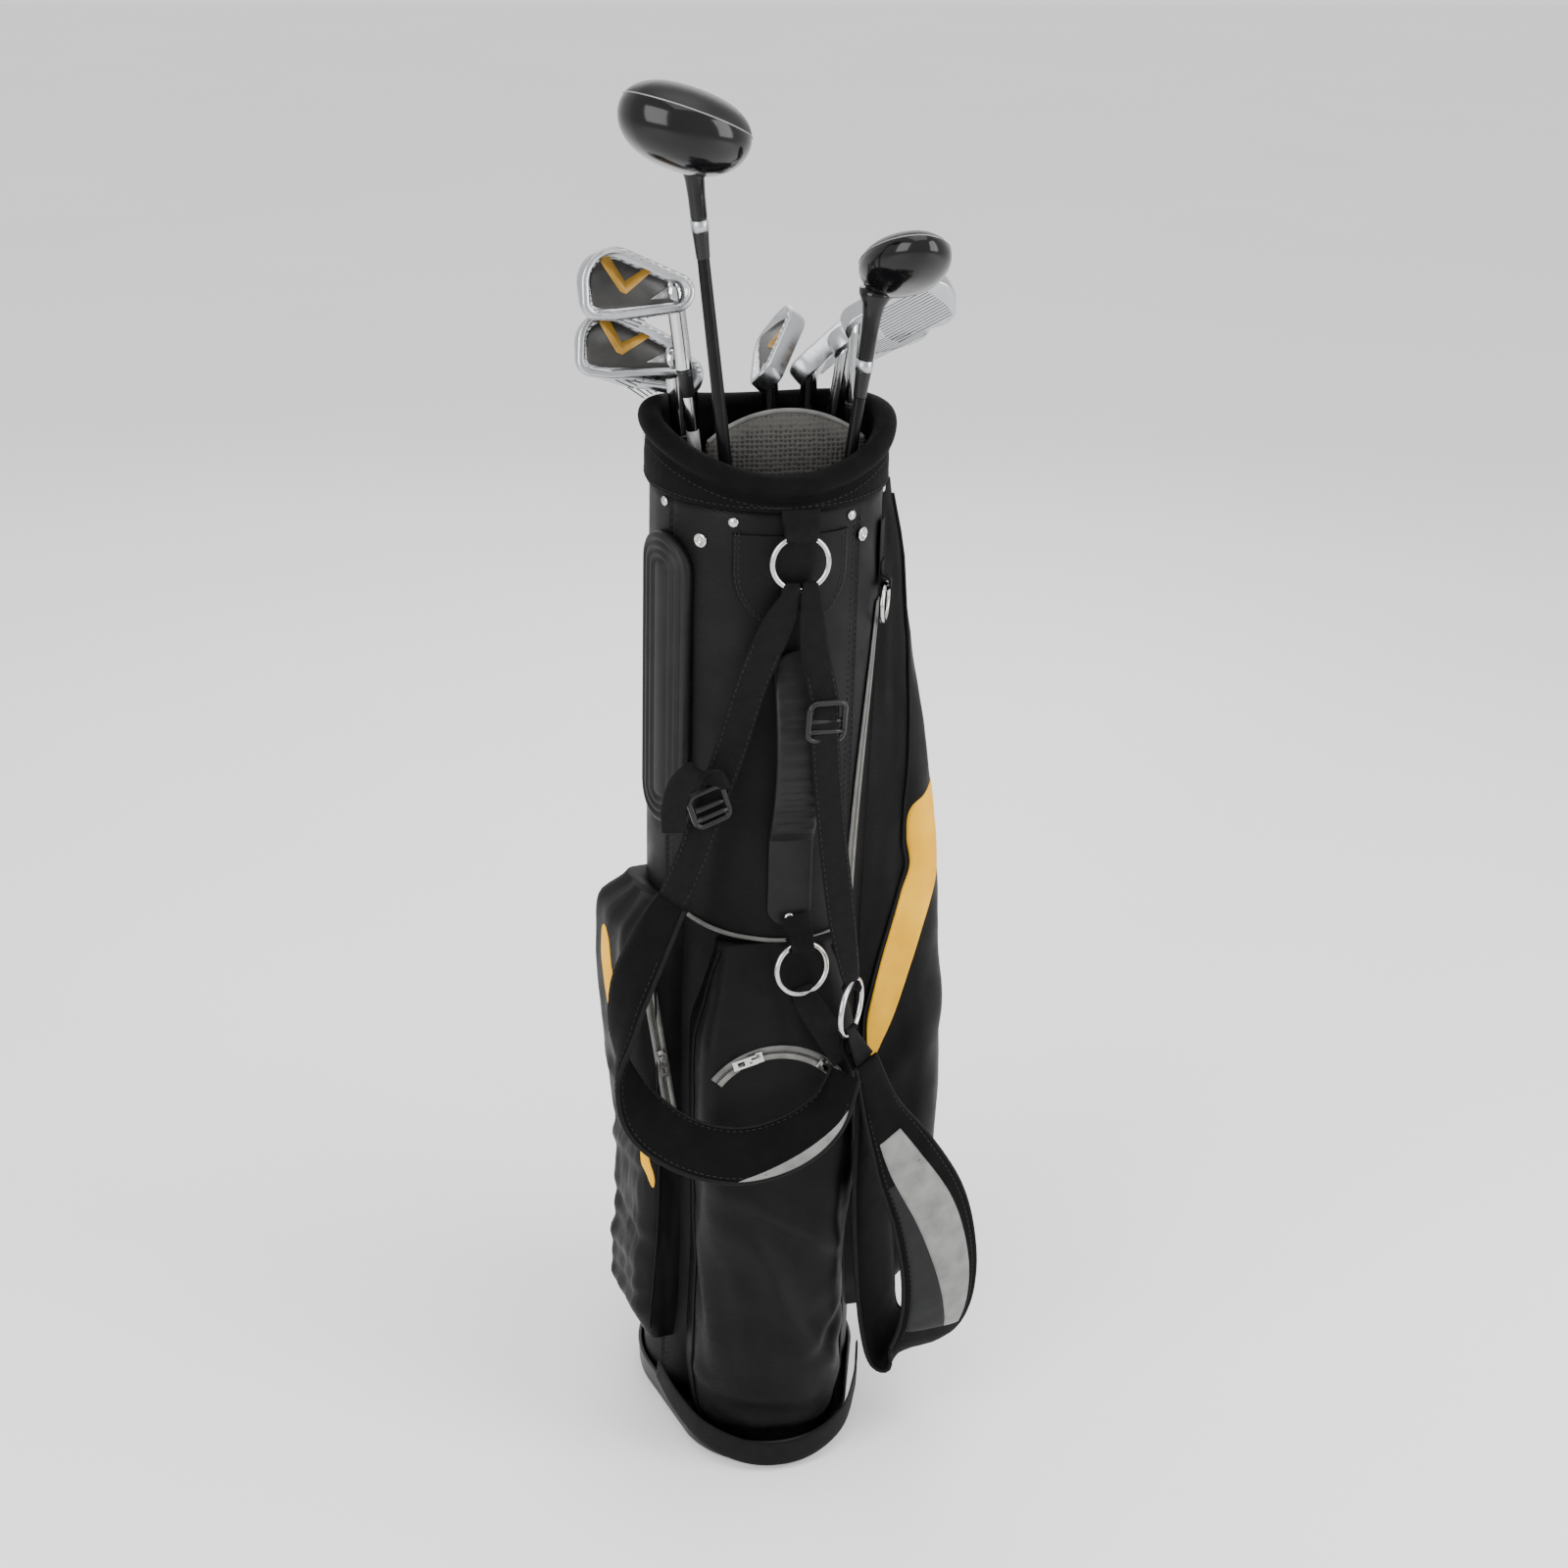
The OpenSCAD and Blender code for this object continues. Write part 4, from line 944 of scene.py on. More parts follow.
# %% [markdown]
# The right pad's loop: its near side faces forward and carries the silver and the slate cloth; its
# far side is plain black. The silver cloth is thin and creased, so its patch has stronger ripples.
# %% Right pad
near, tuck = (0.95, 0.3, 0), (0.65, 0.76, 0)
right_pad_rows = band_rows([
    [(66, -152, 398), (0.8, 0.6, 0), 26, 5], [(80, -156, 352), (0.88, 0.45, 0), 36, 9],
    [(102, -158, 305), near, 57, 10],
    [(126, -156, 250), near, 70, 10], [(139, -152, 190), near, 72, 10], [(140, -146, 140), near, 70, 10],
    [(131, -137, 106), near, 66, 10], [(114, -126, 92), near, 64, 9], [(99, -121, 106), tuck, 64, 9],
    [(92, -121, 150), tuck, 64, 10], [(86, -124, 210), tuck, 64, 10], [(80, -129, 270), tuck, 57, 10],
    [(74, -136, 330), tuck, 40, 9], [(68, -142, 372), tuck, 26, 5]], 9)
right_pad_cloth = band_mesh("right_pad_cloth", right_pad_rows, 9, 0.7, 18)
dress(right_pad_cloth, knit, "bag", ["right_pad"])
band_edges("right_pad_edge", right_pad_rows)
FRONT = 1
silver_rows = right_pad_rows[13:50]
inner_edge = [-0.72 + 1.05 * (i / 36) ** 1.5 for i in range(37)]
outer_edge = [0.3 + 0.5 * (1 - (1 - i / 36) ** 2.2) for i in range(37)]
silver_shares = list(zip(inner_edge, outer_edge))
silver_face = band_patch("right_pad_silver", silver_rows, silver_shares, FRONT, 0.5, 1.3, 4.0)
dress(silver_face, silver_cloth, "bag")
slate_rows = right_pad_rows[20:50]
slate_edges = [(-0.84, edge - 0.01) for edge in inner_edge[7:]]
slate_face = band_patch("right_pad_slate", slate_rows, slate_edges, FRONT, 0.4, 0.5, 5.0)
dress(slate_face, slate_cloth, "bag")
for tag, share in (("a", -0.86), ("b", 0.86)):
    band_stitches(f"right_pad_stitch_{tag}", right_pad_rows[8:54], share, FRONT, 0.6)
print("right pad loop is", round(band_length(right_pad_rows), 2), "m round")

# %% [markdown]
# ## Carry handle
# The grip is a strap of rubber that bows out from the tube, with raised ribs across it and a smooth
# riveted end. A loft whose thickness follows a wave makes the ribs as real geometry, so they catch
# the light along their whole length.
# %% Carry handle
HANDLE_TOP, HANDLE_LOW, HANDLE_HALF, HANDLE_Y = 742, 500, 18, -97.8
GRIP_LOW, RIB_PITCH, RAIL_SHARE = 578, 12.5, 0.72


def handle_out(z):
    """How far the handle bows from the tube, in millimetres."""
    t = (HANDLE_TOP - z) / (HANDLE_TOP - HANDLE_LOW)
    return 24 * math.sin(math.pi * min(max((t - 0.05) / 0.63, 0), 1)) if t < 0.68 else 0.0


rings = []
for i in range(243):
    z = HANDLE_LOW + (HANDLE_TOP - HANDLE_LOW) * i / 242
    grip = min(max((z - GRIP_LOW) / 8, 0), 1) * min(max((HANDLE_TOP - z) / 10, 0), 1)
    ends = math.sqrt(max(1 - (max(abs(z - 621) - 103, 0) / 18.2) ** 2, 0.02))
    thick = 1.4 + 2.6 * grip
    rib = 1.0 * grip * (0.5 + 0.5 * math.tanh(3 * math.sin(2 * math.pi * z / RIB_PITCH)))
    ring = []
    for k in range(40):
        a = 2 * math.pi * k / 40
        c, s = math.cos(a), math.sin(a)
        reach = (abs(c) ** 5 + abs(s) ** 5) ** (-0.2)
        x, y = HANDLE_HALF * ends * c * reach, thick * s * reach
        if y < 0:
            y -= 0.7 * grip if abs(x) > HANDLE_HALF * RAIL_SHARE else rib
        ring.append(Vector((RING_X + x, HANDLE_Y - handle_out(z) + y, z)) * MM)
    rings.append(ring)
dress(loft("carry_handle_grip", rings), rubber, "bag", ["carry_handle"])
print("handle bows out", round(max(handle_out(z) for z in range(500, 742)), 1), "mm")

# %% [markdown]
# ## Hip pad
# The pad on the left side is moulded foam in the form of a long oval with ridges one inside the
# other. Shrinking the same oval step by step and raising or lowering each step gives the ridges.
# %% Hip pad
HIP_ANGLE, HIP_MID, HIP_STRAIGHT, HIP_R = -65, 700, 95, 30
HIP_RIDGES = ((0.2, 0.2), (0.3, 5), (1.4, 8), (3.4, 9.2), (6, 9.4), (7.4, 7.6), (8.6, 7.4), (10, 9.2),
              (12.6, 9.4), (14, 7.4), (15.4, 7.3), (17, 9), (19.4, 9.2), (20.8, 7.2), (22.4, 7.1),
              (24, 8.6), (27, 9), (29.6, 9.1))


def oval(inset, count=72):
    """Points of a long oval, upright, shrunk by an inset, as [across, height]."""
    r = HIP_R - inset
    out = []
    for k in range(count):
        a = 2 * math.pi * k / count
        middle = HIP_MID + (HIP_STRAIGHT if math.sin(a) >= 0 else -HIP_STRAIGHT)
        out.append((r * math.cos(a), middle + r * math.sin(a)))
    return out


rings = []
for inset, rise in HIP_RIDGES:
    rings.append([around(HIP_ANGLE + math.degrees(u / TUBE_R), TUBE_R + rise, z) for u, z in oval(inset)])
hip = dress(loft("hip_pad_foam", rings), rubber, "bag", ["side_pad"])
print("hip pad has", len(HIP_RIDGES), "steps")

# %% [markdown]
# ## Ring patch, rivets and eyelets
# A shield of nylon reinforces the front under the cuff. Its outline is straight at the top and round
# at the foot, and two rows of stitches follow it. Dome rivets and steel eyelets sit beside it.
# %% Patch and rivets
SHIELD_X, SHIELD_HALF, SHIELD_BEND, SHIELD_DROP = 5, 48, 806, 47


def shield_half(z):
    """Half the shield's width at a height: straight sides down to the bend, then an ellipse."""
    if z > SHIELD_BEND:
        return SHIELD_HALF
    return SHIELD_HALF * math.sqrt(max(1 - ((SHIELD_BEND - z) / SHIELD_DROP) ** 2, 0))


def on_shield(across, lift, z):
    """Point over the shield, across and lift in millimetres from its middle and from the tube."""
    return around(math.degrees((SHIELD_X + across) / TUBE_R), TUBE_R + lift, z)


rings = []
for z in [759.2 + 1.2 * k for k in range(65)]:
    half = max(shield_half(z), 0.5)
    shares = [2 * k / 30 - 1 for k in range(31)]
    front = [on_shield(half * t, 1.9 - 0.8 * (abs(t) > 0.97), z) for t in shares]
    rings.append(front + [on_shield(-half * t, 0.1, z) for t in shares])
dress(loft("shield_patch", rings), nylon, "bag", ["ring_patch"])
for k, inset in enumerate((3, 6)):
    path = []
    for side in (-1, 1):
        heights = [836 - 2 * i for i in range(39)] if side < 0 else [760 + 2 * i for i in range(39)]
        for z in heights:
            half = shield_half(z) - inset
            if half > 2 and z > 759 + inset:
                path.append(on_shield(side * half, 2.1, z))
    outs = [Vector((p.x, p.y, 0)).normalized() for p in path]
    stitches(f"shield_stitch_{k}", path, outs)


def lathe(name, profile, where, sides=40):
    """Turned piece from [radius, height] pairs in millimetres, placed by a matrix."""
    turns = [2 * math.pi * k / sides for k in range(sides)]
    rings = []
    for r, z in profile:
        rings.append([where @ (Vector((r * math.cos(a), r * math.sin(a), z)) * MM) for a in turns])
    return loft(name, rings)


def facing_out(angle, radius, height):
    """Matrix whose +Z points straight out of the tube."""
    spot = around(angle, radius, height)
    out = Vector((spot.x, spot.y, 0)).normalized()
    side = Vector((0, 0, 1)).cross(out)
    return Matrix.Translation(spot) @ Matrix((side, Vector((0, 0, 1)), out)).transposed().to_4x4()


DOME_Z, DOME_SIDE_Z, EYELET_Z, HANDLE_RIVET_Z, HANDLE_FACE_R = 845, 848, 826, 508, 99
DOME = [(4.2, 0), (4.2, 0.6), (3.9, 1.2), (3.0, 1.9), (1.8, 2.3), (0.3, 2.45)]
WASHER = [(5.8, 0), (5.8, 0.7), (5.2, 1.4), (4.2, 1.6), (3.3, 1.3), (2.7, 0.5), (2.6, -0.4), (0.2, -0.4)]
stands = ["rivets"]
for k, angle in enumerate((-26, 35, -68, 78)):
    seat = facing_out(angle, TUBE_R + 0.2, DOME_Z if abs(angle) < 60 else DOME_SIDE_Z)
    dress(lathe(f"dome_rivet_{k}", DOME, seat), steel, "bag", stands)
    stands = []
for k, angle in enumerate((-43, 44)):
    seat = facing_out(angle, TUBE_R + 0.5, EYELET_Z)
    dress(lathe(f"eyelet_{k}", WASHER, seat), steel, "bag")
seat = facing_out(math.degrees(RING_X / HANDLE_FACE_R), HANDLE_FACE_R + 0.2, HANDLE_RIVET_Z)
dress(lathe("handle_rivet", DOME, seat), steel, "bag")
print("rivets and eyelets are set")

# %% [markdown]
# ## Zippers
# A zipper is two tapes with a coil between them. The coil is drawn as a close row of small beads,
# which is what a nylon coil looks like from arm's length, and the tapes are thin bands either side.
# %% Zipper helper
def zipper(name, path, sides, stands_for=(), tape=4.6):
    """Tapes and coil along a path in metres; sides holds the direction across the zipper."""
    for tag, away in (("a", -1), ("b", 1)):
        rings = []
        for i, (p, side) in enumerate(zip(path, sides)):
            run = (path[min(i + 1, len(path) - 1)] - path[max(i - 1, 0)]).normalized()
            out = side.cross(run).normalized()
            low, high = p + side * away * 1.1 * MM, p + side * away * (1.1 + tape) * MM
            rings.append([low, high, high + out * 0.9 * MM, low + out * 1.3 * MM])
        made = grey_trim if tag == "a" else zip_tape
        dress(loft(f"{name}_tape_{tag}", rings), made, "bag", stands_for)
        stands_for = ()
    outs = []
    for i in range(len(path) - 1):
        outs.append(sides[i].cross((path[i + 1] - path[i]).normalized()).normalized())
    raised = [p + out * 1.0 * MM for p, out in zip(path, outs + [outs[-1]])]
    stitches(f"{name}_coil", raised, outs, zip_coil, 1.5, 0.5, 1.0)


zip_tape = finish("zip_tape", (0.14, 0.138, 0.128), 0.6)
mottle(zip_tape, (0.1, 0.099, 0.092), (0.18, 0.177, 0.165), 90)
weave(zip_tape, 700, 0.5)
zip_coil = finish("zip_coil", (0.05, 0.047, 0.042), 0.42)
mottle(zip_coil, (0.035, 0.033, 0.03), (0.075, 0.07, 0.062), 300)
grain(zip_coil, 1500, 0.2)
print("zipper helper is ready")

# %% [markdown]
# Three zippers show: a long one up the right of the tube, an arch across the front pocket, and one
# down the front edge of the left pocket. The arch is laid in the tilted face of its pocket.
# %% Three zippers
def long_zip_angle(z):
    """Angle round the bag at which the long zipper runs at a height."""
    return 43 + 25 * (max(z - 445, 0) / 320) ** 2.2


heights = [436 + 4.2 * k for k in range(78)]
path = [around(long_zip_angle(z), TUBE_R + 1.2, z) for z in heights]
turns = [math.radians(long_zip_angle(z)) for z in heights]
sides = [Vector((math.cos(turn), math.sin(turn), 0)) for turn in turns]
zipper("long_zip", path, sides, ["zippers"])

BALL_TILT = math.atan(16 / 112)
ARCH_R, ARCH_FROM, ARCH_TURN = 66, 40, 100
ball_face = Matrix.Translation(Vector((-4, -137.714, 334)) * MM)
ball_face = ball_face @ Matrix.Rotation(math.radians(90) - BALL_TILT, 4, "X")
path, sides = [], []
for k in range(61):
    a = math.radians(ARCH_FROM + ARCH_TURN * k / 60)
    path.append(ball_face @ (Vector((ARCH_R * math.cos(a), ARCH_R * math.sin(a), 1.0)) * MM))
    sides.append((ball_face.to_3x3() @ Vector((math.cos(a), math.sin(a), 0))).normalized())
zipper("ball_zip", path, [-s for s in sides])

side_turn = math.radians(-80)
side_face = Matrix.Translation(Vector((46 * math.cos(side_turn), 46 * math.sin(side_turn), 0)) * MM)
side_face = side_face @ Matrix.Rotation(math.radians(10), 4, "Z") @ Matrix.Rotation(math.radians(90), 4, "X")
ends = (Vector((-88, 290, 1.0)), Vector((-119.4, 482, 1.0)))
path = [side_face @ (ends[0].lerp(ends[1], k / 50) * MM) for k in range(51)]
across = (side_face.to_3x3() @ Vector((0.987, 0.161, 0))).normalized()
zipper("side_zip", path, [across] * 51)
recoat(steel, "ball_slider_left", "ball_slider_right", "side_slider")
recoat(steel, "ball_pull_left", "ball_pull_right", "side_pull")
print("three zippers and their metal")

# %% [markdown]
# ## Piping, stripes and seams
# The trim is what makes the bag readable: pale piping over the front pocket, yellow waves on both
# side pockets, and rows of pale stitches. The waves and the seam cords are laid on the pocket's own
# cloth function; the pale piping and the stitches follow the tube.
# %% Pocket trim
def pocket_cord(name, stack, route, radius, made, folds=(), seed=0.0, steps=6):
    """Cord of piping on a pocket through [share, height] points."""
    path = [pocket_point(stack, s, h, folds, radius * 0.6, seed) for s, h in curve(route, steps)]
    return dress(pipe(name, path, radius * MM, 8), made, "bag")


top_route = curve([(-47, 499), (-31, 492), (-16, 488), (4, 484.5), (26, 483), (46, 488)], 8)
top_seam = [around(a, tube_skin(a, z) + 1.2, z) for a, z in top_route]
dress(pipe("ball_piping", top_seam, 2.0 * MM, 8), grey_trim, "bag")
ball_route = [(0.13, 478), (0.12, 400), (0.11, 300), (0.12, 180), (0.16, 60), (0.2, 20)]
pocket_cord("ball_seam_left", BALL_STACK, ball_route, 1.3, binding, BALL_FOLDS, 3.0)
ball_route = [(0.87, 478), (0.88, 400), (0.89, 300), (0.88, 180), (0.84, 60), (0.8, 20)]
pocket_cord("ball_seam_right", BALL_STACK, ball_route, 1.3, binding, BALL_FOLDS, 3.0)
left_route = [(0.84, 496), (0.86, 400), (0.86, 300), (0.85, 180), (0.82, 84)]
pocket_cord("left_seam_front", LEFT_STACK, left_route, 1.4, binding, LEFT_FOLDS, 1.0)
right_route = [(0.2, 835), (0.2, 720), (0.185, 620), (0.165, 575), (0.16, 540), (0.172, 520), (0.145, 495),
               (0.11, 464), (0.075, 430), (0.05, 400), (0.036, 375), (0.045, 300), (0.06, 150), (0.08, 90)]
pocket_cord("right_seam_front", RIGHT_STACK, right_route, 1.4, binding, RIGHT_FOLDS, 2.0)
right_route = [(0.8, 835), (0.8, 720), (0.81, 575), (0.815, 440), (0.815, 300), (0.81, 150), (0.8, 90)]
pocket_cord("right_seam_back", RIGHT_STACK, right_route, 1.4, binding, RIGHT_FOLDS, 2.0)
edges = [(590, 0.4, 0.46), (580, 0.25, 0.45), (568, 0.185, 0.44), (545, 0.175, 0.42), (520, 0.189, 0.36),
         (495, 0.16, 0.3), (464, 0.125, 0.245), (430, 0.09, 0.205), (400, 0.065, 0.17), (375, 0.05, 0.14),
         (350, 0.055, 0.1), (340, 0.07, 0.085)]
wave = patch("right_wave", RIGHT_STACK, edges, 0.5, RIGHT_FOLDS, 2.0, 16)
dress(wave, yellow_cloth, "bag")
edges = [(470, 0.47, 0.5), (462, 0.42, 0.53), (440, 0.4, 0.56), (420, 0.42, 0.6), (400, 0.46, 0.635),
         (385, 0.53, 0.65), (374, 0.62, 0.64)]
wave = patch("left_wave", LEFT_STACK, edges, 0.5, LEFT_FOLDS, 1.0, 12)
dress(wave, yellow_cloth, "bag")
edges = [(284, 0.745, 0.755), (276, 0.74, 0.785), (258, 0.765, 0.815), (242, 0.795, 0.835), (234, 0.82, 0.83)]
wave = patch("left_low_patch", LEFT_STACK, edges, 0.5, LEFT_FOLDS, 1.0, 8)
dress(wave, yellow_cloth, "bag")
for k, z in enumerate((592, 597)):
    path = [around(a, tube_skin(a, z) + 0.4, z) for a in range(-78, -61)]
    outs = [around(a, 1, 0).normalized() for a in range(-78, -61)]
    stitches(f"side_stitch_{k}", path, outs, grey_trim, 3.4, 1.4, 0.45)
print("piping, waves and patches are on")

# %% [markdown]
# ## Lift handle and towel loop
# Webbing again: one band round the nose of the boot to lift the bag by its foot, and one small loop
# for a towel ring on the right.
# %% Lift handle and towel loop
right_side = [(22, -164.5, 20), (60, -142, 28), (80.5, -103, 36), (91, -66, 44)]
lift_stops = [(-x, y, z) for x, y, z in reversed(right_side)] + right_side
lift_rows = band_rows([[at, (0, 0, 1), 25, 2.4] for at in lift_stops], 10)
dress(band_mesh("lift_handle_web", lift_rows, 11, 0.3), webbing, "bag", ["lift_handle"])
TOWEL_ANGLE = 68
towel_turn = math.radians(TOWEL_ANGLE)
towel_at = Matrix.Translation(around(TOWEL_ANGLE, 100, 757)) @ Matrix.Rotation(towel_turn, 4, "Z")
towel_wide = (math.cos(towel_turn), math.sin(towel_turn), 0)
loop_rows = []
for y, z, width in ((4.4, 70, 19), (4.4, 50, 19), (4.3, 34, 16), (4.6, 24, 12), (1.6, 12.6, 9),
                    (-3.4, 12.4, 9), (-4.3, 17, 9), (-3.2, 21, 9), (2.6, 25, 10), (3.0, 36, 14)):
    loop_rows.append([tuple((towel_at @ (Vector((0, y, z)) * MM)) / MM), towel_wide, width, 2.0])
dress(band_mesh("towel_loop_web", band_rows(loop_rows, 6), 12), webbing, "bag", ["towel_loop"])
recoat(steel, "top_ring", "middle_ring", "strap_ring", "towel_ring")
print("lift handle and towel loop are sewn on")

# %% [markdown]
# ## Legs
# The legs fold flat against the back. Their solid tubes and hinges already have the right shape, so
# they keep it and take a satin paint; each foot gets a ribbed rubber boot, which rides on its leg.
# %% Legs and feet
FOOT = [(1, -705), (8, -705), (10.4, -702), (10.8, -698), (10.8, -692), (10, -690.5), (10, -688),
        (10.7, -686.5), (10.7, -682), (10, -680.5), (10, -677), (8.4, -672), (6.6, -668), (6.3, -660),
        (6.1, -659)]
CLIP = [(6.05, -150), (6.9, -149), (6.9, -128), (6.05, -127)]
HINGE_X, HINGE_Y, HINGE_Z, LEG_SPREAD, LEG_SLANT = 26, 111, 800, 22, 2.2
recoat(boot_plastic, "leg_bracket")
recoat(leg_paint, "left_leg", "right_leg")
for side, name in ((-1, "left_leg"), (1, "right_leg")):
    hinge = Matrix.Translation(Vector((side * HINGE_X, HINGE_Y, HINGE_Z)) * MM)
    hinge = hinge @ Matrix.Rotation(math.radians(-side * LEG_SPREAD), 4, "Z")
    hinge = hinge @ Matrix.Rotation(math.radians(-side * LEG_SLANT), 4, "Y")
    dress(lathe(f"{name}_foot", FOOT, hinge), rubber, name)
    dress(lathe(f"{name}_clip", CLIP, hinge), black_plastic, name)
print("legs painted, feet booted")

# %% [markdown]
# ## Clubs
# Each club is placed by one matrix: its butt at the origin, +Z up the shaft and +X to the toe. The
# head's own frame is tipped by the lie and the loft. With those two matrices every turned piece and
# every blade can be drawn once, straight, and then stood in its place.
# %% Club frames
# Each row: the butt's x and y, the shaft's x and y at the rim, the heel's height, the way the toe
# points in degrees, and the loft in degrees.
CLUBS = {
    "driver": ((72, -4), (-42, -53), 1120, 212, 10), "hybrid": ((-44, -57), (57, -48), 1012, 275, 20),
    "iron_5": ((67, 25), (-60, -16), 1008, 188, 27), "iron_6": ((26, -5), (-66, 21), 944, 177, 31),
    "iron_7": ((0, 70), (-53, 51), 922, 152, 35), "iron_8": ((24, -67), (68, 0), 972, -14, 39),
    "iron_9": ((-67, 22), (60, 35), 948, 4, 43), "pitching_wedge": ((31, 63), (44, 58), 922, 26, 47),
    "sand_wedge": ((21, 30), (15, 70), 914, 60, 55),
}
LIE, GRIP_Z, RIM_Z = 58, 12, 880


def club_frames(name):
    """Matrix of the club, matrix of its head, and the club's length to the heel in millimetres."""
    butt, rim, heel, toe = CLUBS[name][:4]
    run = Vector((rim[0] - butt[0], rim[1] - butt[1], RIM_Z - GRIP_Z)).normalized()
    heading = math.atan2(run.y, run.x)
    length = (heel - GRIP_Z) / run.z
    club = Matrix.Translation(Vector((*butt, GRIP_Z)) * MM) @ Matrix.Rotation(heading, 4, "Z")
    club = club @ Matrix.Rotation(math.acos(run.z), 4, "Y")
    club = club @ Matrix.Rotation(math.radians(toe) - heading, 4, "Z")
    head = club @ Matrix.Translation((0, 0, length * MM)) @ Matrix.Rotation(math.radians(LIE - 90), 4, "Y")
    return club, head, length


print("clubs:", len(CLUBS))

# %% [markdown]
# ### Irons
# A cavity-back iron is a thin face with a thick rim: flat and grooved in front, and behind it a deep
# pocket with a dark inlay. The outline is the hull of three circles; shrinking the circles shrinks
# the outline evenly, so a list of (shrink, depth) pairs walks over the whole head.
# %% Iron heads
BLADE_CIRCLES = ((3, -1, 15), (52, -11, 27), (60, -28, 13))
FACE_Y, POCKET_Y = -4, 3.2
BLADE_WALK = ((12.5, "face", 0), (7, "face", 0), (1.6, "face", 0), (0.5, "face", 0.6), (0.1, "face", 1.8),
              (0.1, "rim", -2.0), (0.6, "rim", -0.7), (1.8, "rim", 0), (4.6, "rim", 0), (5.4, "rim", -0.6),
              (6.4, "pocket", 0), (9, "pocket", 0.1), (12.5, "pocket", 0.1))
BOX_FACES = ((0, 1, 2, 3), (7, 6, 5, 4), (0, 4, 5, 1), (1, 5, 6, 2), (2, 6, 7, 3), (3, 7, 4, 0))


def blade_outline(inset, count=72):
    """Points of the blade's edge: +X to the toe, +Z to the sole."""
    out = []
    for k in range(count):
        a = 2 * math.pi * k / count
        c, s = math.cos(a), math.sin(a)
        x, z, r = max(BLADE_CIRCLES, key=lambda q: q[0] * c + q[1] * s + q[2])
        out.append((x + (r - inset) * c, z + (r - inset) * s))
    return out


def back_depth(z):
    """How thick the blade is at a height: thick at the sole, thin at the topline."""
    return 13.6 if z > 6 else 13.6 + (z - 6) * 12 / 50


def iron_head(name):
    """Blade, score lines, hosel, ferrule and label of one iron; gives back the blade's matrix."""
    club, head, length = club_frames(name)
    tilt = head @ Matrix.Rotation(math.radians(CLUBS[name][4]), 4, "X")
    rings = []
    for inset, side, lift in BLADE_WALK:
        ring = []
        for x, z in blade_outline(inset):
            y = {"face": FACE_Y, "rim": back_depth(z), "pocket": POCKET_Y}[side] + lift
            ring.append(tilt @ (Vector((x, y, z)) * MM))
        rings.append(ring)
    blade = loft(f"{name}_blade", rings)
    dress(blade, satin_steel, name, [f"{name}_head"])
    blade.data.materials.append(face_steel)
    strike = (tilt.to_3x3() @ Vector((0, -1, 0))).normalized()
    for face in blade.data.polygons:
        face.material_index = 1 if face.normal.dot(strike) > 0.98 else 0
    points, faces = [], []
    for k in range(14):
        z = -33 + 3.2 * k
        near, far = 14 + max(-z - 22, 0) * 0.6, 62 + max(min(-z, 22), -4) * 0.3
        corner = len(points)
        for y, half in ((-3.9, 0.5), (-4.12, 0.4)):
            for x, dz in ((near, -half), (far, -half), (far, half), (near, half)):
                points.append(tilt @ (Vector((x, y, z + dz)) * MM))
        faces += [tuple(corner + i for i in quad) for quad in BOX_FACES]
    lines = mesh_object(f"{name}_score_lines", points, faces, False)
    dress(lines, insert_grey, name)
    seat = length - 60
    hosel = [(5.0, seat), (6.2, seat + 0.2), (6.5, seat + 1.5), (6.7, seat + 20), (6.9, seat + 44),
             (7.4, seat + 54), (8.0, seat + 62), (6.0, seat + 70), (0.5, seat + 72)]
    dress(lathe(f"{name}_hosel", hosel, club), chrome, name)
    ferrule = [(4.9, seat - 22), (5.3, seat - 21), (6.2, seat - 4), (6.35, seat - 3.4), (6.0, seat - 3),
               (6.35, seat - 2.6), (6.4, seat), (5.0, seat + 0.1)]
    dress(lathe(f"{name}_ferrule", ferrule, club), black_plastic, name)
    band = []
    for past, z in ((-0.2, seat - 92), (0.18, seat - 92), (0.18, seat - 50), (-0.2, seat - 50)):
        band.append((shaft_radius(length, z) + past, z))
    dress(lathe(f"{name}_label", band, club), pale_paint, name)
    return tilt


SHAFT_TOP_R, SHAFT_TIP_R = 7.3, 4.7


def shaft_radius(length, z):
    """Taper of the shaft between the grip and its tip, in millimetres."""
    low, high = 265, length - 90
    t = min(max((z - low) / (high - low), 0), 1)
    return SHAFT_TOP_R + (SHAFT_TIP_R - SHAFT_TOP_R) * t


# %% [markdown]
# The inlay behind each iron: a dark plate at the bottom of the pocket, with a gold chevron and a
# small pale wedge at the heel. No lettering is drawn.
# %% Iron inlays
def inlay(name, tag, outline, tilt, depth, thick, made):
    """Flat plate from an outline in the blade's plane."""
    mid_x, mid_z = [sum(p[i] for p in outline) / len(outline) for i in (0, 1)]
    rings = []
    for inset, y in ((0.0, depth), (0.0, depth + thick * 0.7), (0.3, depth + thick)):
        ring = [(x + (mid_x - x) * inset / 20, y, z + (mid_z - z) * inset / 20) for x, z in outline]
        rings.append([tilt @ (Vector(p) * MM) for p in ring])
    dress(loft(f"{name}_{tag}", rings), made, name)


CHEVRON = [(22, 12), (28, 12), (44, -6), (62, 9), (66, 4), (66, 1), (45, -15), (40, -15)]
WOODS = ("driver", "hybrid")
for name in [club for club in CLUBS if club not in WOODS]:
    tilt = iron_head(name)
    inlay(name, "plate", blade_outline(8.2), tilt, 2.6, 1.6, insert_grey)
    inlay(name, "chevron", CHEVRON, tilt, 4.0, 0.8, gold_paint)
    inlay(name, "wedge", [(6, -6), (20, -12), (9, 2)], tilt, 4.0, 0.8, pale_paint)
print("seven irons")

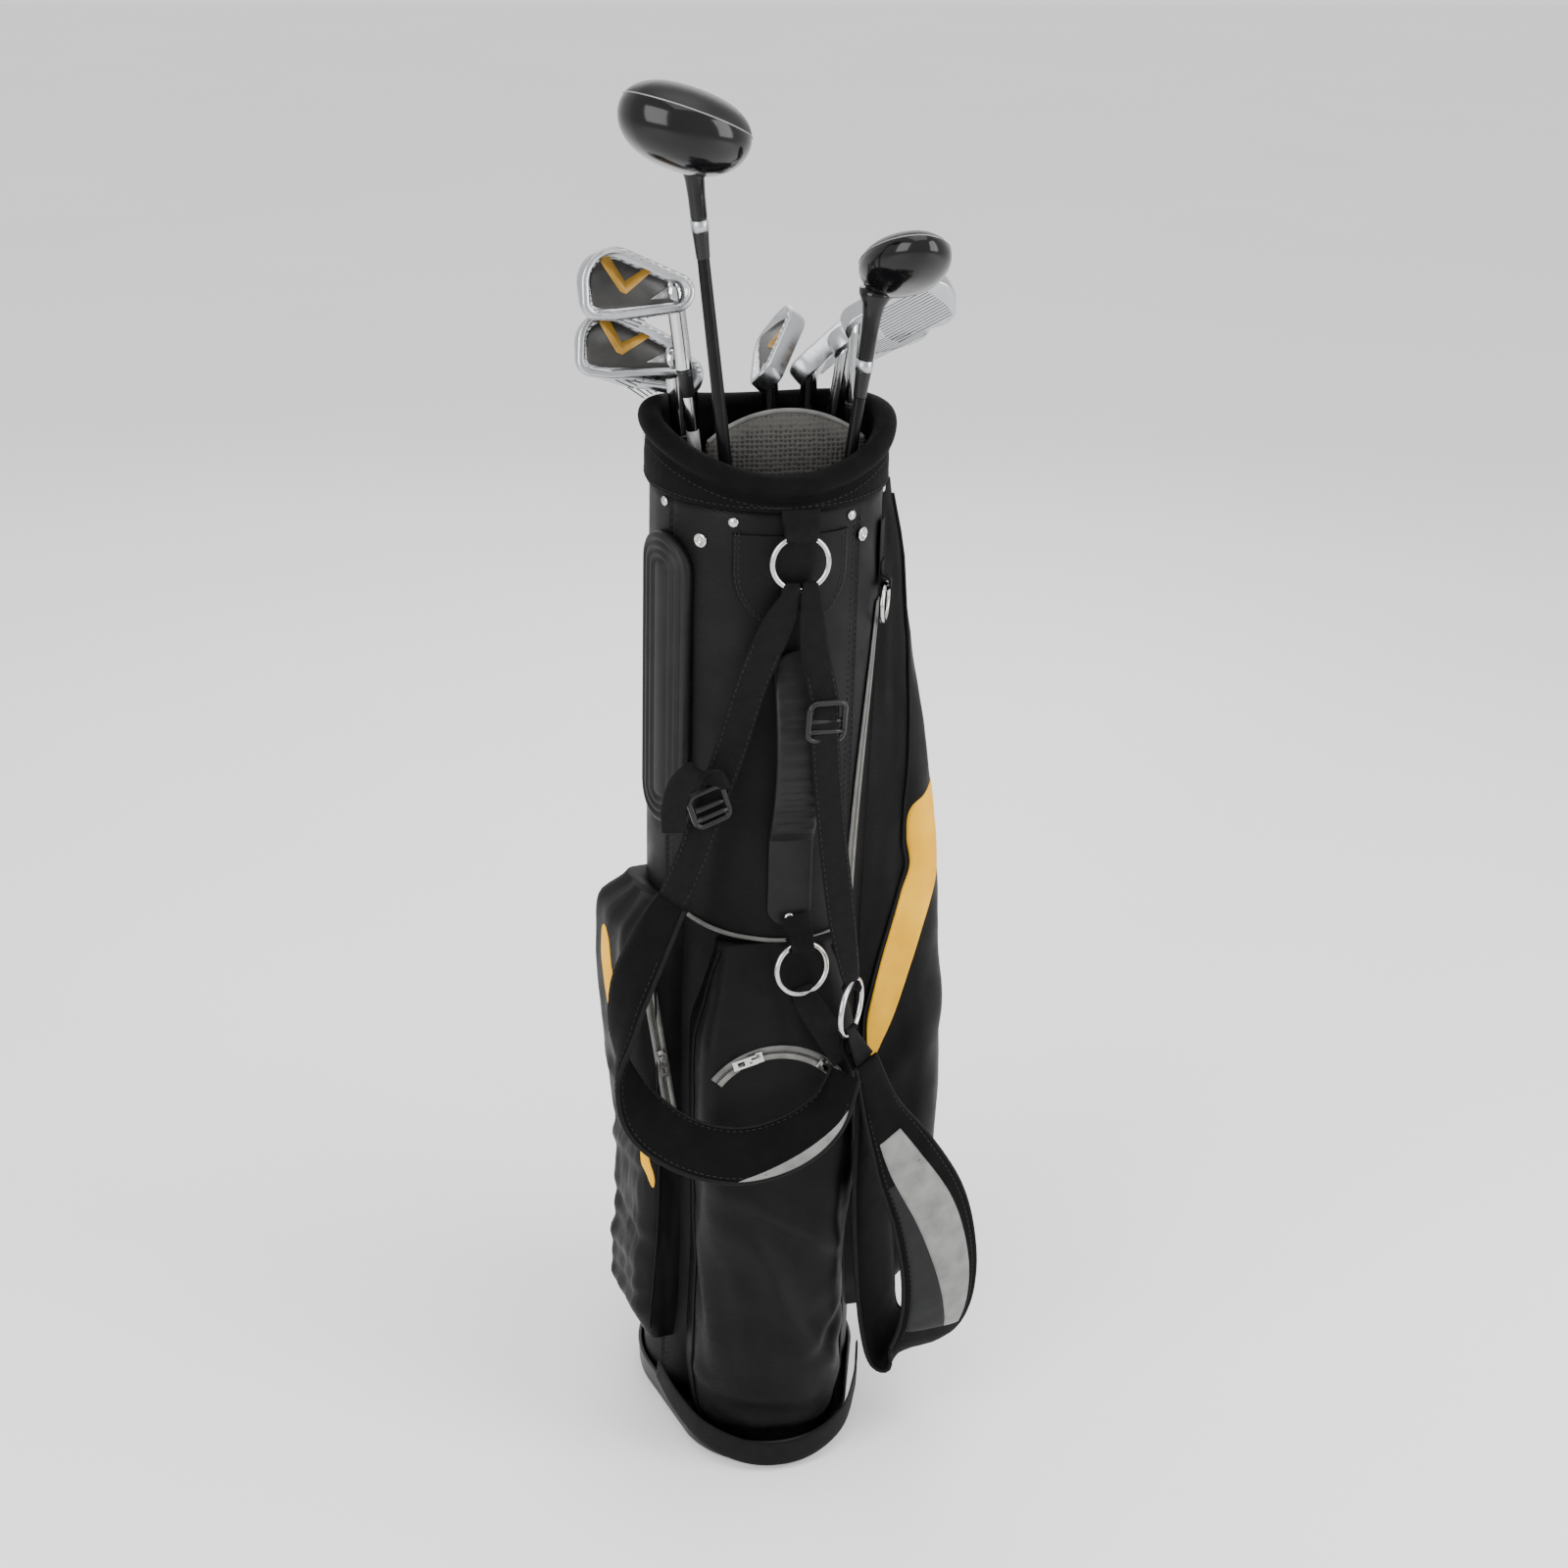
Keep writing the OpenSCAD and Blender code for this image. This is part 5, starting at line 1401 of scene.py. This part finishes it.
# %% [markdown]
# ### Woods
# The driver and the hybrid are rounded shells with a flat face. A superellipse gives the plan, and
# different heights above and below the widest line give a flat sole and a domed crown. Points that
# would pass the face are pressed onto it, which leaves a crisp edge round the face.
# %% Wood heads
WOOD_MID, WOOD_COUNT, WOOD_ROWS = 14, 96, 61


def wood_head(name, size, heel, back, face_cut, hosel_len):
    """Head of a wood: size is its half length, half depth, drop below and rise above its widest line."""
    club, head, length = club_frames(name)
    loft_turn = math.radians(CLUBS[name][4])
    normal = Vector((0, -math.cos(loft_turn), -math.sin(loft_turn)))
    rings = []
    steps = [2 + 176 * k / (WOOD_ROWS - 1) for k in range(WOOD_ROWS)]
    for v in steps:
        s, rise = math.sin(math.radians(v)), -math.cos(math.radians(v))
        r = s ** (0.8 if rise < 0 else 0.72)
        z = rise * (size[2] if rise < 0 else size[3])
        ring = []
        for k in range(WOOD_COUNT):
            a = 2 * math.pi * k / WOOD_COUNT
            taper = 1 - 0.1 * max(math.sin(a), 0) * abs(math.cos(a))
            x = heel + size[0] * r * taper * math.cos(a)
            p = Vector((x, back + size[1] * r * math.sin(a), WOOD_MID + z))
            past = p.dot(normal) - face_cut
            if past > 0:
                p -= normal * past
            ring.append(head @ (p * MM))
        rings.append(ring)
    shell = loft(f"{name}_shell", rings)
    dress(shell, gloss_black, name, [f"{name}_head"])
    shell.data.materials.append(matt_black)
    shell.data.materials.append(face_steel)
    back_to_head = head.inverted()
    facing = (head.to_3x3() @ normal).normalized()
    for face in shell.data.polygons:
        spot = back_to_head @ face.center / MM
        if face.normal.dot(facing) > 0.97 and spot.dot(normal) > face_cut - 0.6:
            face.material_index = 2
        elif spot.z > WOOD_MID + size[3] * 0.24:
            face.material_index = 1
    row = min(range(WOOD_ROWS), key=lambda i: abs(-math.cos(math.radians(steps[i])) - 0.24))
    middle = head @ (Vector((heel, back, WOOD_MID)) * MM)
    skirt = [p + (p - middle).normalized() * 0.15 * MM for p in rings[row]]
    dress(pipe(f"{name}_skirt", skirt, 0.55 * MM, 8, loop=True), pale_paint, name)
    seat = length - hosel_len
    neck = [(5.0, seat), (6.2, seat + 0.2), (6.4, seat + 2)]
    for radius, share in ((6.6, 0.4), (7.4, 0.66), (9.2, 0.84), (12.5, 0.97), (13, 1.06), (4, 1.1)):
        neck.append((radius, seat + hosel_len * share))
    dress(lathe(f"{name}_neck", neck, club), gloss_black, name)
    ring_band = [(6.1, seat - 9), (6.75, seat - 8.8), (6.75, seat - 0.4), (6.1, seat)]
    dress(lathe(f"{name}_collar", ring_band, club), satin_steel, name)
    ferrule = [(4.9, seat - 30), (5.2, seat - 29), (6.2, seat - 10), (6.4, seat - 9), (5, seat - 8.8)]
    dress(lathe(f"{name}_ferrule", ferrule, club), black_plastic, name)


wood_head("driver", (52, 47, 32, 26), 43, 32, 13, 46)
wood_head("hybrid", (49, 33, 22, 16), 34, 12, 17, 52)
print("two woods")

# %% [markdown]
# ### Shafts and grips
# Shafts and grips are turned forms, which the solid model already has exactly, so they keep their
# meshes and take a finish: steel for the irons, graphite for the woods, rubber for the grips.
# %% Shafts and grips
grip_rubber = finish("grip_rubber", (0.012, 0.012, 0.013), 0.6)
mottle(grip_rubber, (0.008, 0.008, 0.009), (0.018, 0.018, 0.019), 80)
bump(grip_rubber, bands(grip_rubber, "DIAGONAL", 130, 0.0), 0.6, 0.0008)
for name in CLUBS:
    recoat(graphite if name in WOODS else chrome, f"{name}_shaft")
    recoat(grip_rubber, f"{name}_grip")
print("clubs are dressed")
